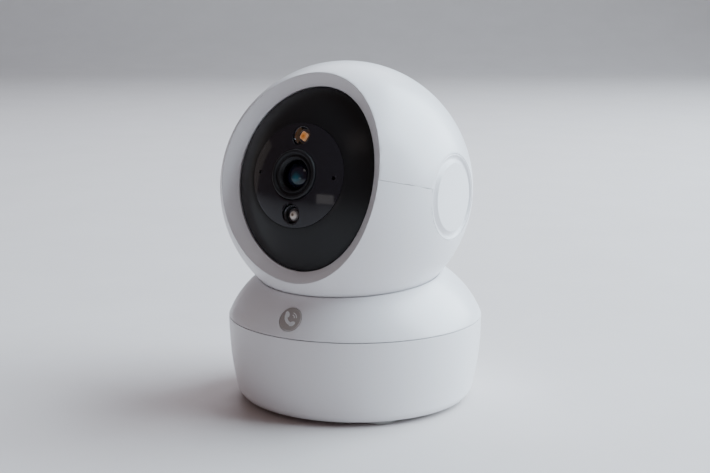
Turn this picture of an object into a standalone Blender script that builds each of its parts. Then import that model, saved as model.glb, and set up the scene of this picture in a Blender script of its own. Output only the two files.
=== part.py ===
"""A pan-and-tilt home security camera, standing on its base.

A ball-shaped head tilts in a cup, the cup turns on a round base, and the black oval face of the
head holds the lens and two lights. The base stands on the plane z = 0 with the pan axis on Z.
The camera looks along -Y. Sizes are in millimetres here and become metres as meshes are made.
"""

from math import atan2, cos, degrees, hypot, pi, radians, sin, sqrt, tan

import bmesh
import bpy

MM = 0.001

# Base and shoulder
BASE_R = 44.0  # radius at the pan seam, the widest place
SEAM_Z = 29.5  # height of the pan seam
BOWL_TAPER = 3.6  # how much the bowl narrows towards its foot
WALL = 2.2  # wall of the bowl, the shoulder and the ball
FOOT_H = 1.3  # clear height under the bowl
DOME_LOW = 0.2159 * BASE_R  # depth of the shoulder ellipse's centre under the seam
DOME_R = 1.041 * BASE_R  # half-width of the shoulder ellipse
DOME_H = 0.78 * BASE_R  # half-height of the shoulder ellipse

# Ball head
BALL_R = 43.07
BALL_LIFT = 1.43  # the ball's lowest point is this far above the seam's height
BALL_Z = SEAM_Z + BALL_LIFT + BALL_R  # height of the tilt axis
BALL_FORWARD = 5.7  # the tilt axis stands this far in front of the pan axis
TILT_REST = 14.6  # the head looks up this many degrees at rest
TILT_LOW = -15.0  # lowest and highest look, in degrees from level
TILT_HIGH = 40.0
SPLIT_UP = 0.7  # the two half shells of the ball meet just above the tilt axis
RIM_A = 0.692 * BALL_R  # half-width and half-height of the oval opening in the ball
RIM_B = 0.807 * BALL_R
FACE_A = 0.5944 * BALL_R  # half-width and half-height of the black face
FACE_B = 0.708 * BALL_R
FACE_DOME_R = 1.068 * BALL_R  # the face and window bulge with this radius
FACE_APEX = 0.7964 * BALL_R  # distance of the bulge's middle from the tilt axis
WINDOW_R = 0.397 * BALL_R
BARREL_R = 0.188 * BALL_R
LIGHT_UP = 0.2984 * BALL_R  # the two lights stand this far above and below the lens
WELL_R = 0.0743 * BALL_R  # each light sits in a round dish
PIN_X = 0.325 * BALL_R  # two pinholes stand this far to the sides of the lens
CAP_R = 0.332 * BALL_R  # round caps on the two ends of the tilt axis

# Small controls and general play
BUTTON_R = 4.1
BUTTON_Z = SEAM_Z + 5.8  # height of the call button's middle on the shoulder
CARD_ANGLE = 22.0  # the card slot is this far in front of the ball's lowest point, level head
RESET_X = 10.5  # the reset button stands this far beside the card slot
FOOT_R = 6.4
GAP = 0.3  # gap between pieces that touch or are cut from one shape
PLAY = 0.1  # running play round a pin
POCKET_GAP = 0.45  # gap between the ball and its cup

# Gears: module, teeth
PAN_GEAR = (BASE_R / 44.0, 40)
PAN_PINION = (BASE_R / 44.0, 12)
TILT_GEAR = (0.01857 * BALL_R, 30)
TILT_PINION = (0.01857 * BALL_R, 12)
PRESSURE = radians(25.0)

ROUND = 40
SMALL = 16

for leftover in list(bpy.data.objects):
    bpy.data.objects.remove(leftover, do_unlink=True)


# ---------------------------------------------------------------- building blocks


def finish(name, colour, rough, metal=0.0):
    """A plain Principled material."""
    made = bpy.data.materials.new(name)
    made.use_nodes = True
    shader = made.node_tree.nodes["Principled BSDF"]
    shader.inputs["Base Color"].default_value = (*colour, 1.0)
    shader.inputs["Roughness"].default_value = rough
    shader.inputs["Metallic"].default_value = metal
    made.diffuse_color = (*colour, 1.0)
    return made


WHITE = ((0.78, 0.78, 0.79), 0.38)
BLACK = ((0.012, 0.012, 0.014), 0.5)
DARK = ((0.03, 0.03, 0.034), 0.45)
STEEL = ((0.55, 0.56, 0.57), 0.32, 1.0)
NYLON = ((0.72, 0.71, 0.66), 0.55)
GREEN = ((0.02, 0.14, 0.06), 0.5)


def frame(name, at=(0, 0, 0), turn_x=0.0, parent=None):
    """An empty that stands on a joint axis and carries the pieces that move about it."""
    empty = bpy.data.objects.new(name, None)
    bpy.context.scene.collection.objects.link(empty)
    empty.parent = parent
    empty.location = [value * MM for value in at]
    empty.rotation_euler = (turn_x, 0.0, 0.0)
    return empty


def up(x, y, z):
    return (x, y, z)


def right(x, y, z):
    """Turns a shape made along +Z to lie along +X."""
    return (z, x, y)


def front(x, y, z):
    """Turns a shape made along +Z to look along -Y, with its own +Y upright."""
    return (x, -z, y)


def solid(name, points, faces, look, parent=None, axis=up, at=(0, 0, 0), bevel=0.0):
    """One object from points and faces. A look of None makes a hidden cutter."""
    mesh = bpy.data.meshes.new(name)
    mesh.from_pydata([[value * MM for value in axis(*point)] for point in points], [], faces)
    shape = bmesh.new()
    shape.from_mesh(mesh)
    bmesh.ops.recalc_face_normals(shape, faces=shape.faces)
    for edge in shape.edges:
        edge.smooth = edge.calc_face_angle(0.0) < radians(34.0)
    for face in shape.faces:
        face.smooth = True
    shape.to_mesh(mesh)
    shape.free()
    made = bpy.data.objects.new(name, mesh)
    bpy.context.scene.collection.objects.link(made)
    made.parent = parent
    made.location = [value * MM for value in at]
    if bevel:
        edges = made.modifiers.new("edges", "BEVEL")
        edges.width = bevel * MM
        edges.segments = 1
        edges.limit_method = "ANGLE"
        edges.angle_limit = radians(50.0)
    if look is None:
        made.hide_render = True
        made.display_type = "WIRE"
    else:
        mesh.materials.append(finish(name, *look))
    return made


def loft(name, rings, look, closed=False, **place):
    """Skins rings of equal length. An open loft is capped, and a closed one joins end to start."""
    count = len(rings[0])
    points = [point for ring in rings for point in ring]
    faces = []
    for k in range(len(rings) if closed else len(rings) - 1):
        a, b = k * count, (k + 1) % len(rings) * count
        faces += [(a + i, a + (i + 1) % count, b + (i + 1) % count, b + i) for i in range(count)]
    if not closed:
        faces += [tuple(range(count)), tuple(range(len(points) - count, len(points)))]
    return solid(name, points, faces, look, **place)


def circle(radius, height, count=ROUND, start=0.0):
    steps = [start + 2 * pi * i / count for i in range(count)]
    return [(radius * cos(a), radius * sin(a), height) for a in steps]


def turned(name, profile, look, closed=False, count=ROUND, **place):
    """A turned shape from (radius, height) pairs."""
    rings = [circle(radius, height, count) for radius, height in profile]
    return loft(name, rings, look, closed, **place)


def rod(name, radius, low, high, look, count=SMALL, **place):
    rings = [circle(radius, height, count, start=0.1) for height in (low, high)]
    return loft(name, rings, look, **place)


def tube(name, inner, outer, low, high, look, count=ROUND, **place):
    profile = [(inner, low), (outer, low), (outer, high), (inner, high)]
    return turned(name, profile, look, True, count, **place)


def prism(name, outline, low, high, look, **place):
    rings = [[(x, y, height) for x, y in outline] for height in (low, high)]
    return loft(name, rings, look, **place)


def block(name, low, high, look, **place):
    outline = [(low[0], low[1]), (high[0], low[1]), (high[0], high[1]), (low[0], high[1])]
    return prism(name, outline, low[2], high[2], look, **place)


def combine(target, kind, *others):
    for other in others:
        step = target.modifiers.new(other.name, "BOOLEAN")
        step.operation = kind
        step.object = other
        step.solver = "EXACT"
        other.hide_render = True
        other.display_type = "WIRE"


def cut(target, *others):
    combine(target, "DIFFERENCE", *others)


def join(target, *others):
    combine(target, "UNION", *others)


def polar(radius, angle):
    return (radius * cos(radians(angle)), radius * sin(radians(angle)))


def screw(name, head_r, head_h, shank_r, length, at, down=False, axis=up, parent=None):
    """A pan-head screw whose head sits on z = 0 of its own place, its shank running down."""
    way = -1 if down else 1
    profile = [(0.8 * head_r, head_h), (head_r, 0.0), (shank_r, 0.0), (shank_r, -length)]
    profile = [(radius, way * height) for radius, height in profile]
    return turned(name, profile, STEEL, count=10, at=at, axis=axis, parent=parent)


def gear_outline(module, teeth, centre_angle, tooth_there):
    """Involute teeth. A tooth, or a gap, is centred on centre_angle."""
    pitch = module * teeth / 2
    base, root, tip = pitch * cos(PRESSURE), pitch - 1.2 * module, pitch + 0.9 * module
    half = 0.45 * pi / teeth + tan(PRESSURE) - PRESSURE
    flank = []
    for radius in (max(root, base), tip):
        roll = sqrt(max((radius / base) ** 2 - 1, 0.0))
        flank.append((radius, half - (roll - atan2(roll, 1.0))))
    if root < base:
        flank[0] = (root, half)
        flank.insert(1, (base * 1.001, half))
    start = radians(centre_angle) + (0.0 if tooth_there else pi / teeth)
    outline = []
    for k in range(teeth):
        middle = start + 2 * pi * k / teeth
        for radius, spread in flank:
            outline.append((radius * cos(middle - spread), radius * sin(middle - spread)))
        for radius, spread in reversed(flank):
            outline.append((radius * cos(middle + spread), radius * sin(middle + spread)))
    return outline


def gear_ring(name, gear, centre_angle, bore, low, high, look, **place):
    outline = gear_outline(*gear, centre_angle, True)
    inner = [(bore * x / hypot(x, y), bore * y / hypot(x, y)) for x, y in outline]
    rings = [[(x, y, low) for x, y in outline], [(x, y, high) for x, y in outline]]
    rings += [[(x, y, high) for x, y in inner], [(x, y, low) for x, y in inner]]
    return loft(name, rings, look, True, **place)


# ---------------------------------------------------------------- heights and joint places

DOME_Z = SEAM_Z - DOME_LOW
RIM_LOW = SEAM_Z - GAP / 2  # top of the bowl
RIM_HIGH = SEAM_Z + GAP / 2  # foot of the shoulder
FLOOR_TOP = FOOT_H + 2.0
TABLE_TOP = SEAM_Z - 2.3  # top of the turntable
TABLE_LOW = TABLE_TOP - 2.0
DECK_TOP = TABLE_LOW - 3.9
DECK_LOW = DECK_TOP - 1.8
PINION_REACH = PAN_GEAR[0] * (PAN_GEAR[1] + PAN_PINION[1]) / 2
TILT_REACH = TILT_GEAR[0] * (TILT_GEAR[1] + TILT_PINION[1]) / 2

pan = frame("pan_frame")
level_head = frame("level_head_frame", (0, -BALL_FORWARD, BALL_Z))
head = frame("head_frame", (0, -BALL_FORWARD, BALL_Z), -radians(TILT_REST))


def bowl_r(z, wall=0.0):
    """Outer radius of the bowl at a height. It narrows ever faster towards its foot."""
    share = (SEAM_Z - z) / (SEAM_Z - FOOT_H)
    return BASE_R - BOWL_TAPER * share**2.2 - wall


def dome_r(z, wall=0.0):
    """Radius of the shoulder's ellipse at a height."""
    share = (z - DOME_Z) / (DOME_H - wall)
    return (DOME_R - wall) * sqrt(max(1 - share * share, 0.0))


def face_y(radius):
    """How far in front of the tilt axis the bulging face lies at a radius from its middle."""
    return FACE_APEX - FACE_DOME_R + sqrt(FACE_DOME_R**2 - radius**2)


# ---------------------------------------------------------------- base: bowl, feet, deck

steps = [FOOT_H + (RIM_LOW - FOOT_H) * k / 6 for k in range(7)]
edge = 1.4
profile = [(2.0, FOOT_H), (bowl_r(FOOT_H) - 1.9 * edge, FOOT_H)]
profile += [(bowl_r(FOOT_H) - 0.8 * edge, FOOT_H + 0.25 * edge)]
profile += [(bowl_r(FOOT_H + edge), FOOT_H + edge)]
profile += [(bowl_r(z), z) for z in steps[1:-1]]
profile += [(bowl_r(RIM_LOW), RIM_LOW - 0.3), (bowl_r(RIM_LOW) - 0.3, RIM_LOW)]
profile += [(bowl_r(RIM_LOW, WALL), RIM_LOW)]
profile += [(bowl_r(z, WALL), z) for z in (SEAM_Z * 0.6, SEAM_Z * 0.3)]
profile += [(bowl_r(FLOOR_TOP, WALL) - 1.0, FLOOR_TOP), (2.0, FLOOR_TOP)]
housing = turned("base_housing", profile, WHITE)

POST_ANGLES = (20.0, 200.0, 300.0)
POST_RING = BASE_R - 8.6
for k, angle in enumerate(POST_ANGLES):
    x, y = polar(POST_RING, angle)
    post = rod(f"cut_post_{k}", 3.0, FLOOR_TOP - 1.0, DECK_LOW - GAP, None, at=(x, y, 0))
    pilot = rod(f"cut_pilot_{k}", 1.2, DECK_LOW - 9.0, DECK_LOW + 1.0, None, 12, at=(x, y, 0))
    join(housing, post)
    cut(housing, pilot)

BAY = DECK_LOW - FLOOR_TOP  # clear height inside the base
PORT_Z = FLOOR_TOP + 0.66 * BAY
PORT_FACE = bowl_r(PORT_Z, WALL) - 0.5
port_way = block(
    "cut_port_way", (-5.8, PORT_FACE - 4.0, PORT_Z - 3.8), (5.8, BASE_R + 5.0, PORT_Z + 3.8), None
)
cut(housing, port_way)
SPEAKER_AT = polar(BASE_R / 2, 250.0)
for k in range(3):
    x, y = SPEAKER_AT[0] + 5.0 * (k - 1), SPEAKER_AT[1]
    slit = block(f"cut_slit_{k}", (x - 0.9, y - 6, 0), (x + 0.9, y + 6, FLOOR_TOP + 1), None)
    cut(housing, slit)

FOOT_RING = BASE_R - 12.5
for k, place in enumerate(("front_right", "rear_right", "rear_left", "front_left")):
    x, y = polar(FOOT_RING, 90.0 * k - 45.0)
    profile = [(FOOT_R - 0.5, 0.0), (FOOT_R, 0.35), (FOOT_R, FOOT_H - GAP)]
    rubber = ((0.42, 0.42, 0.43), 0.8)
    turned(f"foot_{place}", profile, rubber, count=24, at=(x, y, 0))

profile = [(8.4, DECK_LOW), (bowl_r(DECK_LOW, WALL) - 0.6, DECK_LOW)]
profile += [(bowl_r(DECK_LOW, WALL) - 0.6, DECK_TOP), (12.5, DECK_TOP)]
profile += [(12.5, TABLE_LOW - GAP), (8.4, TABLE_LOW - GAP)]
deck = turned("base_deck", profile, DARK, True)
MOTOR_ANGLE = 150.0
motor_at = polar(PINION_REACH, MOTOR_ANGLE)
cut(deck, rod("cut_motor_way", 3.6, DECK_LOW - 1, DECK_TOP + 1, None, at=(*motor_at, 0)))
for k, angle in enumerate(POST_ANGLES):
    x, y = polar(POST_RING, angle)
    hole = rod(f"cut_deck_hole_{k}", 1.4, DECK_LOW - 1, DECK_TOP + 1, None, 12, at=(x, y, 0))
    cut(deck, hole)
    screw(f"deck_screw_{k + 1}", 2.3, 1.2, 1.0, 8.0, (x, y, DECK_TOP + 0.05))

# ---------------------------------------------------------------- base: drive and electrics

can_r = 0.2045 * BASE_R
profile = [(can_r, DECK_LOW - GAP - 0.68 * BAY), (can_r, DECK_LOW - GAP), (3.2, DECK_LOW - GAP)]
profile += [(3.2, DECK_TOP - 0.4)]
motor = turned("pan_motor", profile, STEEL, count=32, at=(*motor_at, 0))
outline = gear_outline(*PAN_PINION, MOTOR_ANGLE + 180.0, False)
prism("pan_pinion", outline, DECK_TOP + 0.9, TABLE_LOW - GAP, NYLON, at=(*motor_at, 0))

BOARD_LOW = PORT_Z - 2.4
half = 0.284 * BASE_R
low, high = (-half, -0.34 * BASE_R, BOARD_LOW), (half + 3.5, PORT_FACE - 4.4, BOARD_LOW + 1.2)
block("base_board", low, high, GREEN)
port = block(
    "power_port", (-3.9, PORT_FACE - 7.0, PORT_Z - 1.1), (3.9, PORT_FACE, PORT_Z + 1.9), STEEL, bevel=0.5
)
tongue_way = block(
    "cut_port_mouth", (-3.4, PORT_FACE - 5.6, PORT_Z - 0.6), (3.4, PORT_FACE + 1, PORT_Z + 1.4), None
)
cut(port, tongue_way)
cone_r = BASE_R / 4
profile = [(6.0, FLOOR_TOP + GAP), (cone_r, FLOOR_TOP + GAP), (cone_r, FLOOR_TOP + 2.0)]
profile += [(0.64 * cone_r, FLOOR_TOP + 0.25 * BAY), (0.64 * cone_r, FLOOR_TOP + 0.38 * BAY)]
turned("speaker", profile, DARK, count=32, at=(*SPEAKER_AT, 0))

# ---------------------------------------------------------------- turning part: turntable, cup

HUB_LOW = DECK_LOW - 3.8
profile = [(5.5, HUB_LOW), (8.0, HUB_LOW), (8.0, HUB_LOW + 1.0), (6.9, HUB_LOW + 1.0)]
profile += [(6.9, HUB_LOW + 2.4), (8.0, HUB_LOW + 2.4), (8.0, TABLE_LOW)]
profile += [(BASE_R - 5.5, TABLE_LOW), (BASE_R - 5.5, TABLE_TOP), (5.5, TABLE_TOP)]
table = turned("turntable", profile, DARK, True, parent=pan)
gear_ring(
    "pan_gear", PAN_GEAR, MOTOR_ANGLE, 14.5, DECK_TOP + 0.9, TABLE_LOW - GAP, NYLON, parent=pan
)
span = [radians(35.0 + 290.0 * k / 20) for k in range(21)]
outline = [(11.0 * cos(a), 11.0 * sin(a)) for a in span]
outline += [(7.1 * cos(a), 7.1 * sin(a)) for a in reversed(span)]
prism("pan_retainer", outline, HUB_LOW + 1.15, HUB_LOW + 2.25, STEEL, parent=pan)


def dome_profile(wall, low):
    top = DOME_Z + (DOME_H - wall) * 0.96
    heights = [low + (top - low) * k / 9 for k in range(10)]
    return [(dome_r(max(z, DOME_Z + 4.0), wall), z) for z in heights]


def ball(name, radius):
    """A whole ball with its poles on the tilt axis."""
    turns = [pi * (k + 0.5) / 16 for k in range(16)]
    profile = [(radius * sin(a), -radius * cos(a)) for a in turns]
    return turned(name, profile, None, axis=right, parent=level_head)


shoulder = turned("shoulder", dome_profile(0.0, RIM_HIGH), WHITE, parent=pan)
hollow = turned("cut_dome_hollow", dome_profile(WALL, RIM_HIGH - 2.0), None, parent=pan)
cut(hollow, ball("cut_cup_back", BALL_R + POCKET_GAP + 1.8))
cut(shoulder, hollow, ball("cut_cup", BALL_R + POCKET_GAP))
lip_r = dome_r(RIM_HIGH, WALL) - 0.3
join(shoulder, tube("cut_lip", lip_r - 1.4, lip_r, RIM_HIGH - 1.9, RIM_HIGH + 1.6, None, parent=pan))

BOSS_RING = BASE_R - 7.7
for k, angle in enumerate((30.0, 150.0, 250.0)):
    x, y = polar(BOSS_RING, angle)
    boss = rod(f"cut_boss_{k}", 2.4, TABLE_TOP + GAP, SEAM_Z + 8.2, None, 12, parent=pan, at=(x, y, 0))
    pilot = rod(f"cut_boss_pilot_{k}", 1.3, TABLE_LOW - 1, SEAM_Z + 3.5, None, 12, parent=pan, at=(x, y, 0))
    join(shoulder, boss)
    cut(shoulder, pilot)
    cut(table, pilot)
    where = (x, y, TABLE_LOW - 0.05)
    screw(f"shoulder_screw_{k + 1}", 2.0, 1.1, 1.0, 6.5, where, down=True, parent=pan)

# ---------------------------------------------------------------- yoke that carries the ball

ARM_X = 0.72 * BALL_R
ARM_T = 2.0
BAR_LOW = -0.534 * BALL_R
BAR_HIGH = BAR_LOW + 2.2
STEM_Y = (0.2554 * BALL_R, 0.4876 * BALL_R)
STEM_X = 6.0
FOOT_PLATE = SEAM_Z - 2.0 - BALL_Z
# The screws of the yoke stand outside the pinion's reach, so that it can run past them.
YOKE_SCREW = polar(PINION_REACH + PAN_PINION[0] * (PAN_PINION[1] / 2 + 0.9) + 2.7, 44.0)
SHAFT_R = 2.5

# The U of the yoke is drawn in the plane of the tilt axis and runs 10 mm from front to back.
outline = [(-ARM_X, BAR_LOW), (ARM_X, BAR_LOW), (ARM_X, 6.0), (ARM_X - ARM_T, 6.0)]
outline += [(ARM_X - ARM_T, BAR_HIGH), (ARM_T - ARM_X, BAR_HIGH), (ARM_T - ARM_X, 6.0), (-ARM_X, 6.0)]
yoke = prism("yoke", outline, -6.0, 4.0, DARK, axis=front, parent=level_head)
bridge = block("cut_bridge", (-8, 0, BAR_LOW), (8, STEM_Y[1], BAR_HIGH), None, parent=level_head)
stem = block(
    "cut_stem",
    (-STEM_X, STEM_Y[0], FOOT_PLATE + 0.5),
    (STEM_X, STEM_Y[1], BAR_LOW + 1.0),
    None,
    parent=level_head,
)
wing_y = YOKE_SCREW[1] + BALL_FORWARD
foot_low, foot_high = (-13.0, STEM_Y[0] - 5.0, FOOT_PLATE), (13.0, wing_y, FOOT_PLATE + 1.8)
sole = block("cut_sole", foot_low, foot_high, None, parent=level_head)
low = (-YOKE_SCREW[0] - 2.2, wing_y - 2.6, FOOT_PLATE)
high = (YOKE_SCREW[0] + 2.2, wing_y + 2.6, FOOT_PLATE + 1.8)
join(sole, block("cut_wings", low, high, None, parent=level_head))
MOTOR_TILT = 62.0  # the tilt motor's direction from straight down, towards the back
tilt_motor_y = TILT_REACH * sin(radians(MOTOR_TILT))
tilt_motor_z = -TILT_REACH * cos(radians(MOTOR_TILT))
MOTOR_R = 0.1625 * BALL_R
saddle = block(
    "cut_saddle",
    (10.0, tilt_motor_y - 3.0, BAR_HIGH - 1.0),
    (ARM_X - 11.0, tilt_motor_y + 3.0, tilt_motor_z - MOTOR_R + 0.4),
    None,
    parent=level_head,
)
low, high = (8.0, tilt_motor_y - 6.8, BAR_LOW), (ARM_X - 11.0, tilt_motor_y + 3.2, BAR_HIGH)
join(saddle, block("cut_saddle_rib", low, high, None, parent=level_head))


def arc_strip(name, inner, outer, half_width, start, end, parent, count=14):
    """A strip bent round the tilt axis. Angles run from straight down towards the back."""
    turns = [radians(start + (end - start) * k / count) for k in range(count + 1)]
    outline = [(outer * sin(a), -outer * cos(a)) for a in turns]
    outline += [(inner * sin(a), -inner * cos(a)) for a in reversed(turns)]
    return prism(name, outline, -half_width, half_width, None, axis=right, parent=parent)


SHELL_IN = BALL_R - WALL
stem_front = degrees(atan2(STEM_Y[0], sqrt(BALL_R**2 - STEM_Y[0] ** 2)))
stem_back = degrees(atan2(STEM_Y[1], sqrt(SHELL_IN**2 - STEM_Y[1] ** 2)))
slot_front = stem_front - 1.5 - (TILT_REST - TILT_LOW)
slot_back = stem_back + 1.5 + (TILT_HIGH - TILT_REST)
SHIELD_R = sqrt((SHELL_IN - 0.7) ** 2 - (STEM_X + 3.6) ** 2)
shield_end = slot_back + (TILT_REST - TILT_LOW) + 2.0
shield = arc_strip(
    "cut_shield", SHIELD_R - 1.3, SHIELD_R, STEM_X + 3.6, stem_back - 4.0, shield_end, level_head
)
join(yoke, bridge, stem, sole, saddle, shield)
bed = rod("cut_motor_bed", MOTOR_R + GAP, 5.0, ARM_X - 8.0, None, 32, axis=right, parent=level_head)
bed.location = (0, tilt_motor_y * MM, tilt_motor_z * MM)
arm_hole = rod("cut_arm_holes", SHAFT_R + PLAY + 0.15, -40.0, 40.0, None, axis=right, parent=level_head)
cut(yoke, bed, arm_hole)
# The stem rises through a close hole in the foot of the cup.
way = block(
    "cut_stem_way",
    (-STEM_X - 0.6, STEM_Y[0] - 0.6, FOOT_PLATE - 1.0),
    (STEM_X + 0.6, STEM_Y[1] + 0.6, BAR_LOW - 8.0),
    None,
    parent=level_head,
)
cut(shoulder, way)
for k, x in enumerate((-YOKE_SCREW[0], YOKE_SCREW[0])):
    y = YOKE_SCREW[1]
    hole = rod(f"cut_yoke_hole_{k}", 1.3, TABLE_LOW - 1, SEAM_Z + 0.5, None, 12, parent=pan, at=(x, y, 0))
    cut(table, hole)
    cut(yoke, hole)
    screw(f"yoke_screw_{k + 1}", 2.0, 1.0, 1.0, 3.6, (x, y, TABLE_LOW - 0.05), down=True, parent=pan)

motor = rod("tilt_motor", MOTOR_R, 6.0, ARM_X - 8.6, STEEL, 28, axis=right, parent=level_head)
motor.location = (0, tilt_motor_y * MM, tilt_motor_z * MM)
GEAR_X = (ARM_X - 7.0, ARM_X - 4.0)
direction = degrees(atan2(tilt_motor_z, tilt_motor_y))
outline = gear_outline(*TILT_PINION, direction + 180.0, False)
pinion = prism("tilt_pinion", outline, *GEAR_X, NYLON, axis=right, parent=level_head)
pinion.location = (0, tilt_motor_y * MM, tilt_motor_z * MM)

# ---------------------------------------------------------------- call button on the shoulder

button_y = dome_r(BUTTON_Z)
lean = atan2((BUTTON_Z - DOME_Z) / DOME_H**2, button_y / DOME_R**2)
button = frame("button_frame", (0, -button_y, BUTTON_Z), pi / 2 - lean, pan)
button_hole = rod("cut_button_hole", BUTTON_R + 0.15, -5.0, 3.0, None, 32, parent=button)
button_room = rod("cut_button_room", BUTTON_R + 1.1, -8.0, 0.4 - WALL, None, 24, parent=button)
cut(shoulder, button_hole, button_room)
profile = [(1.2, -WALL - 1.5), (1.2, -WALL - 0.5), (BUTTON_R + 0.6, -WALL - 0.5)]
profile += [(BUTTON_R + 0.6, 0.1 - WALL), (BUTTON_R - 0.1, 0.1 - WALL)]
profile += [(BUTTON_R - 0.1, -0.15), (BUTTON_R - 0.4, 0.05), (2.0, 0.2)]
turned("call_button", profile, ((0.33, 0.31, 0.30), 0.4), count=24, parent=button)
BOARD_IN = -WALL - 3.0
board = block("button_board", (-7.2, -3.4, BOARD_IN - 1), (7.2, 3.4, BOARD_IN), GREEN, parent=button)
low, high = (-1.6, -1.6, BOARD_IN - 0.2), (1.6, 1.6, BOARD_IN + 0.7)
join(board, block("cut_switch", low, high, None, parent=button))
for k, x in enumerate((-6.2, 6.2)):
    stand = rod(f"cut_stand_{k}", 0.9, BOARD_IN + 0.1, -1.0, None, 8, parent=button, at=(x, 0, 0))
    join(shoulder, stand)

# ---------------------------------------------------------------- ball shells


def shell(name, low_side):
    """Half of the hollow ball, open at its two ends for the side caps."""
    reach_out = sqrt(BALL_R**2 - CAP_R**2)
    reach_in = sqrt(SHELL_IN**2 - CAP_R**2)
    first = atan2(CAP_R, reach_out)
    turns = [first + (pi - 2 * first) * k / 16 for k in range(17)]
    profile = [(BALL_R * sin(a), -BALL_R * cos(a)) for a in turns]
    first = atan2(CAP_R, reach_in)
    turns = [first + (pi - 2 * first) * k / 12 for k in range(13)]
    profile += [(SHELL_IN * sin(a), SHELL_IN * cos(a)) for a in turns]
    made = turned(name, profile, WHITE, True, axis=right, parent=head)
    far = BALL_R + 5.0
    if low_side:
        other = block(f"cut_{name}", (-far, -far, SPLIT_UP - GAP / 2), (far, far, far), None, parent=head)
    else:
        other = block(f"cut_{name}", (-far, -far, -far), (far, far, SPLIT_UP + GAP / 2), None, parent=head)
    cut(made, other, opening)
    return made


def oval(a, b, depth, count=ROUND):
    """Points on an oval round the optical axis, depth being a number or a rule for each point."""
    ring = []
    for k in range(count):
        x, y = a * cos(2 * pi * k / count), b * sin(2 * pi * k / count)
        ring.append((x, y, depth(x, y) if callable(depth) else depth))
    return ring


opening = loft(
    "cut_opening",
    [oval(RIM_A + GAP / 2, RIM_B + GAP / 2, depth) for depth in (8.0, 50.0)],
    None,
    axis=front,
    parent=head,
)
upper = shell("ball_upper_shell", False)
lower = shell("ball_lower_shell", True)
ends = (slot_front + TILT_REST, slot_back + TILT_REST)
cut(lower, arc_strip("cut_slot", SHELL_IN - 4.0, BALL_R + 4.0, STEM_X + 1.2, *ends, head))

card = frame("card_frame", (0, 0, 0), -radians(CARD_ANGLE), head)
card_way = block("cut_card_way", (-6.2, -0.9, -BALL_R - 2), (6.2, 0.9, -BALL_R + 5), None, parent=card)
reset_way = rod("cut_reset_way", 1.5, -BALL_R - 2, -BALL_R + 5, None, 12, at=(RESET_X, 0, 0), parent=card)
cut(lower, card_way, reset_way)
socket = block("card_socket", (-7.2, -1.3, 9.0 - SHELL_IN), (7.2, 1.3, 1.5 - SHELL_IN), DARK, parent=card)
card_slot = block("cut_card_slot", (-5.7, -0.5, -SHELL_IN), (5.7, 0.5, 8.0 - SHELL_IN), None, parent=card)
cut(socket, card_slot)
tip = 0.3 - sqrt(BALL_R**2 - RESET_X**2)
seat = 0.5 - sqrt(SHELL_IN**2 - (RESET_X + 2.0) ** 2)
profile = [(1.15, tip), (1.15, seat), (2.0, seat), (2.0, seat + 0.8)]
turned("reset_button", profile, DARK, count=12, at=(RESET_X, 0, 0), parent=card)

# ---------------------------------------------------------------- face: bezel, face, window


def on_ball(x, y):
    return sqrt(BALL_R**2 - x * x - y * y)


def on_face(x, y):
    return face_y(hypot(x, y))


INNER_A, INNER_B = FACE_A + 0.2, FACE_B + 0.2
rim_a, rim_b = RIM_A - GAP / 2, RIM_B - GAP / 2
rings = [
    oval(rim_a, rim_b, on_ball),
    oval(INNER_A, INNER_B, lambda x, y: on_face(x, y) + 0.5),
    oval(INNER_A, INNER_B, lambda x, y: on_face(x, y) - 2.0),
    oval(rim_a, rim_b, lambda x, y: min(on_ball(x, y) - 2.6, on_face(x, y) + 1.0)),
]
loft("front_bezel", rings, WHITE, True, axis=front, parent=head)

FACE_T = 1.6
SEAT_R = WINDOW_R - 0.6


def blend(share):
    """An oval between the window's circle at 0 and the face's outline at 1."""
    return (
        WINDOW_R + 0.15 + (FACE_A - WINDOW_R - 0.15) * share,
        WINDOW_R + 0.15 + (FACE_B - WINDOW_R - 0.15) * share,
    )


rings = [oval(*blend(share), on_face) for share in (1.0, 0.5, 0.0)]
rings += [oval(*blend(0.0), on_face(WINDOW_R, 0) - 0.95)]
rings += [oval(SEAT_R, SEAT_R, on_face(WINDOW_R, 0) - 0.95)]
rings += [oval(SEAT_R, SEAT_R, on_face(WINDOW_R, 0) - FACE_T)]
rings += [oval(*blend(share), lambda x, y: on_face(x, y) - FACE_T) for share in (0.4, 1.0)]
face = loft("face_cover", rings, BLACK, True, axis=front, parent=head)

BOARD_FRONT = FACE_APEX - 13.3
POSTS = [(i * 0.488 * FACE_A, j * 0.541 * FACE_B) for i, j in ((1, 1), (-1, 1), (-1, -1), (1, -1))]
for k, (x, z) in enumerate(POSTS):
    top = on_face(x, z) - 1.35
    spot = {"axis": front, "parent": head, "at": (x, 0, z)}
    join(face, rod(f"cut_face_post_{k}", 1.9, BOARD_FRONT + GAP, top, None, 10, **spot))
    cut(face, rod(f"cut_face_pilot_{k}", 0.9, BOARD_FRONT - 1.0, top - 1.0, None, 8, **spot))
    where = (x, -(BOARD_FRONT - 1.25), z)
    screw(f"board_screw_{k + 1}", 1.5, 0.8, 0.7, 4.5, where, down=True, axis=front, parent=head)

radii = [WINDOW_R - 0.15, (WINDOW_R + BARREL_R) / 2, BARREL_R + 0.25]
profile = [(radius, face_y(radius) + 0.1) for radius in radii]
profile += [(radius, face_y(radius) - 0.75) for radius in reversed(radii)]
window = turned("window", profile, ((0.02, 0.02, 0.024), 0.06), True, axis=front, parent=head)
for k, x in enumerate((-PIN_X, PIN_X)):
    hole = rod(f"cut_pinhole_{k}", 0.65, 25.0, 36.0, None, 10, axis=front, parent=head, at=(x, 0, 0))
    cut(window, hole)

# ---------------------------------------------------------------- optics and lights

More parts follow.
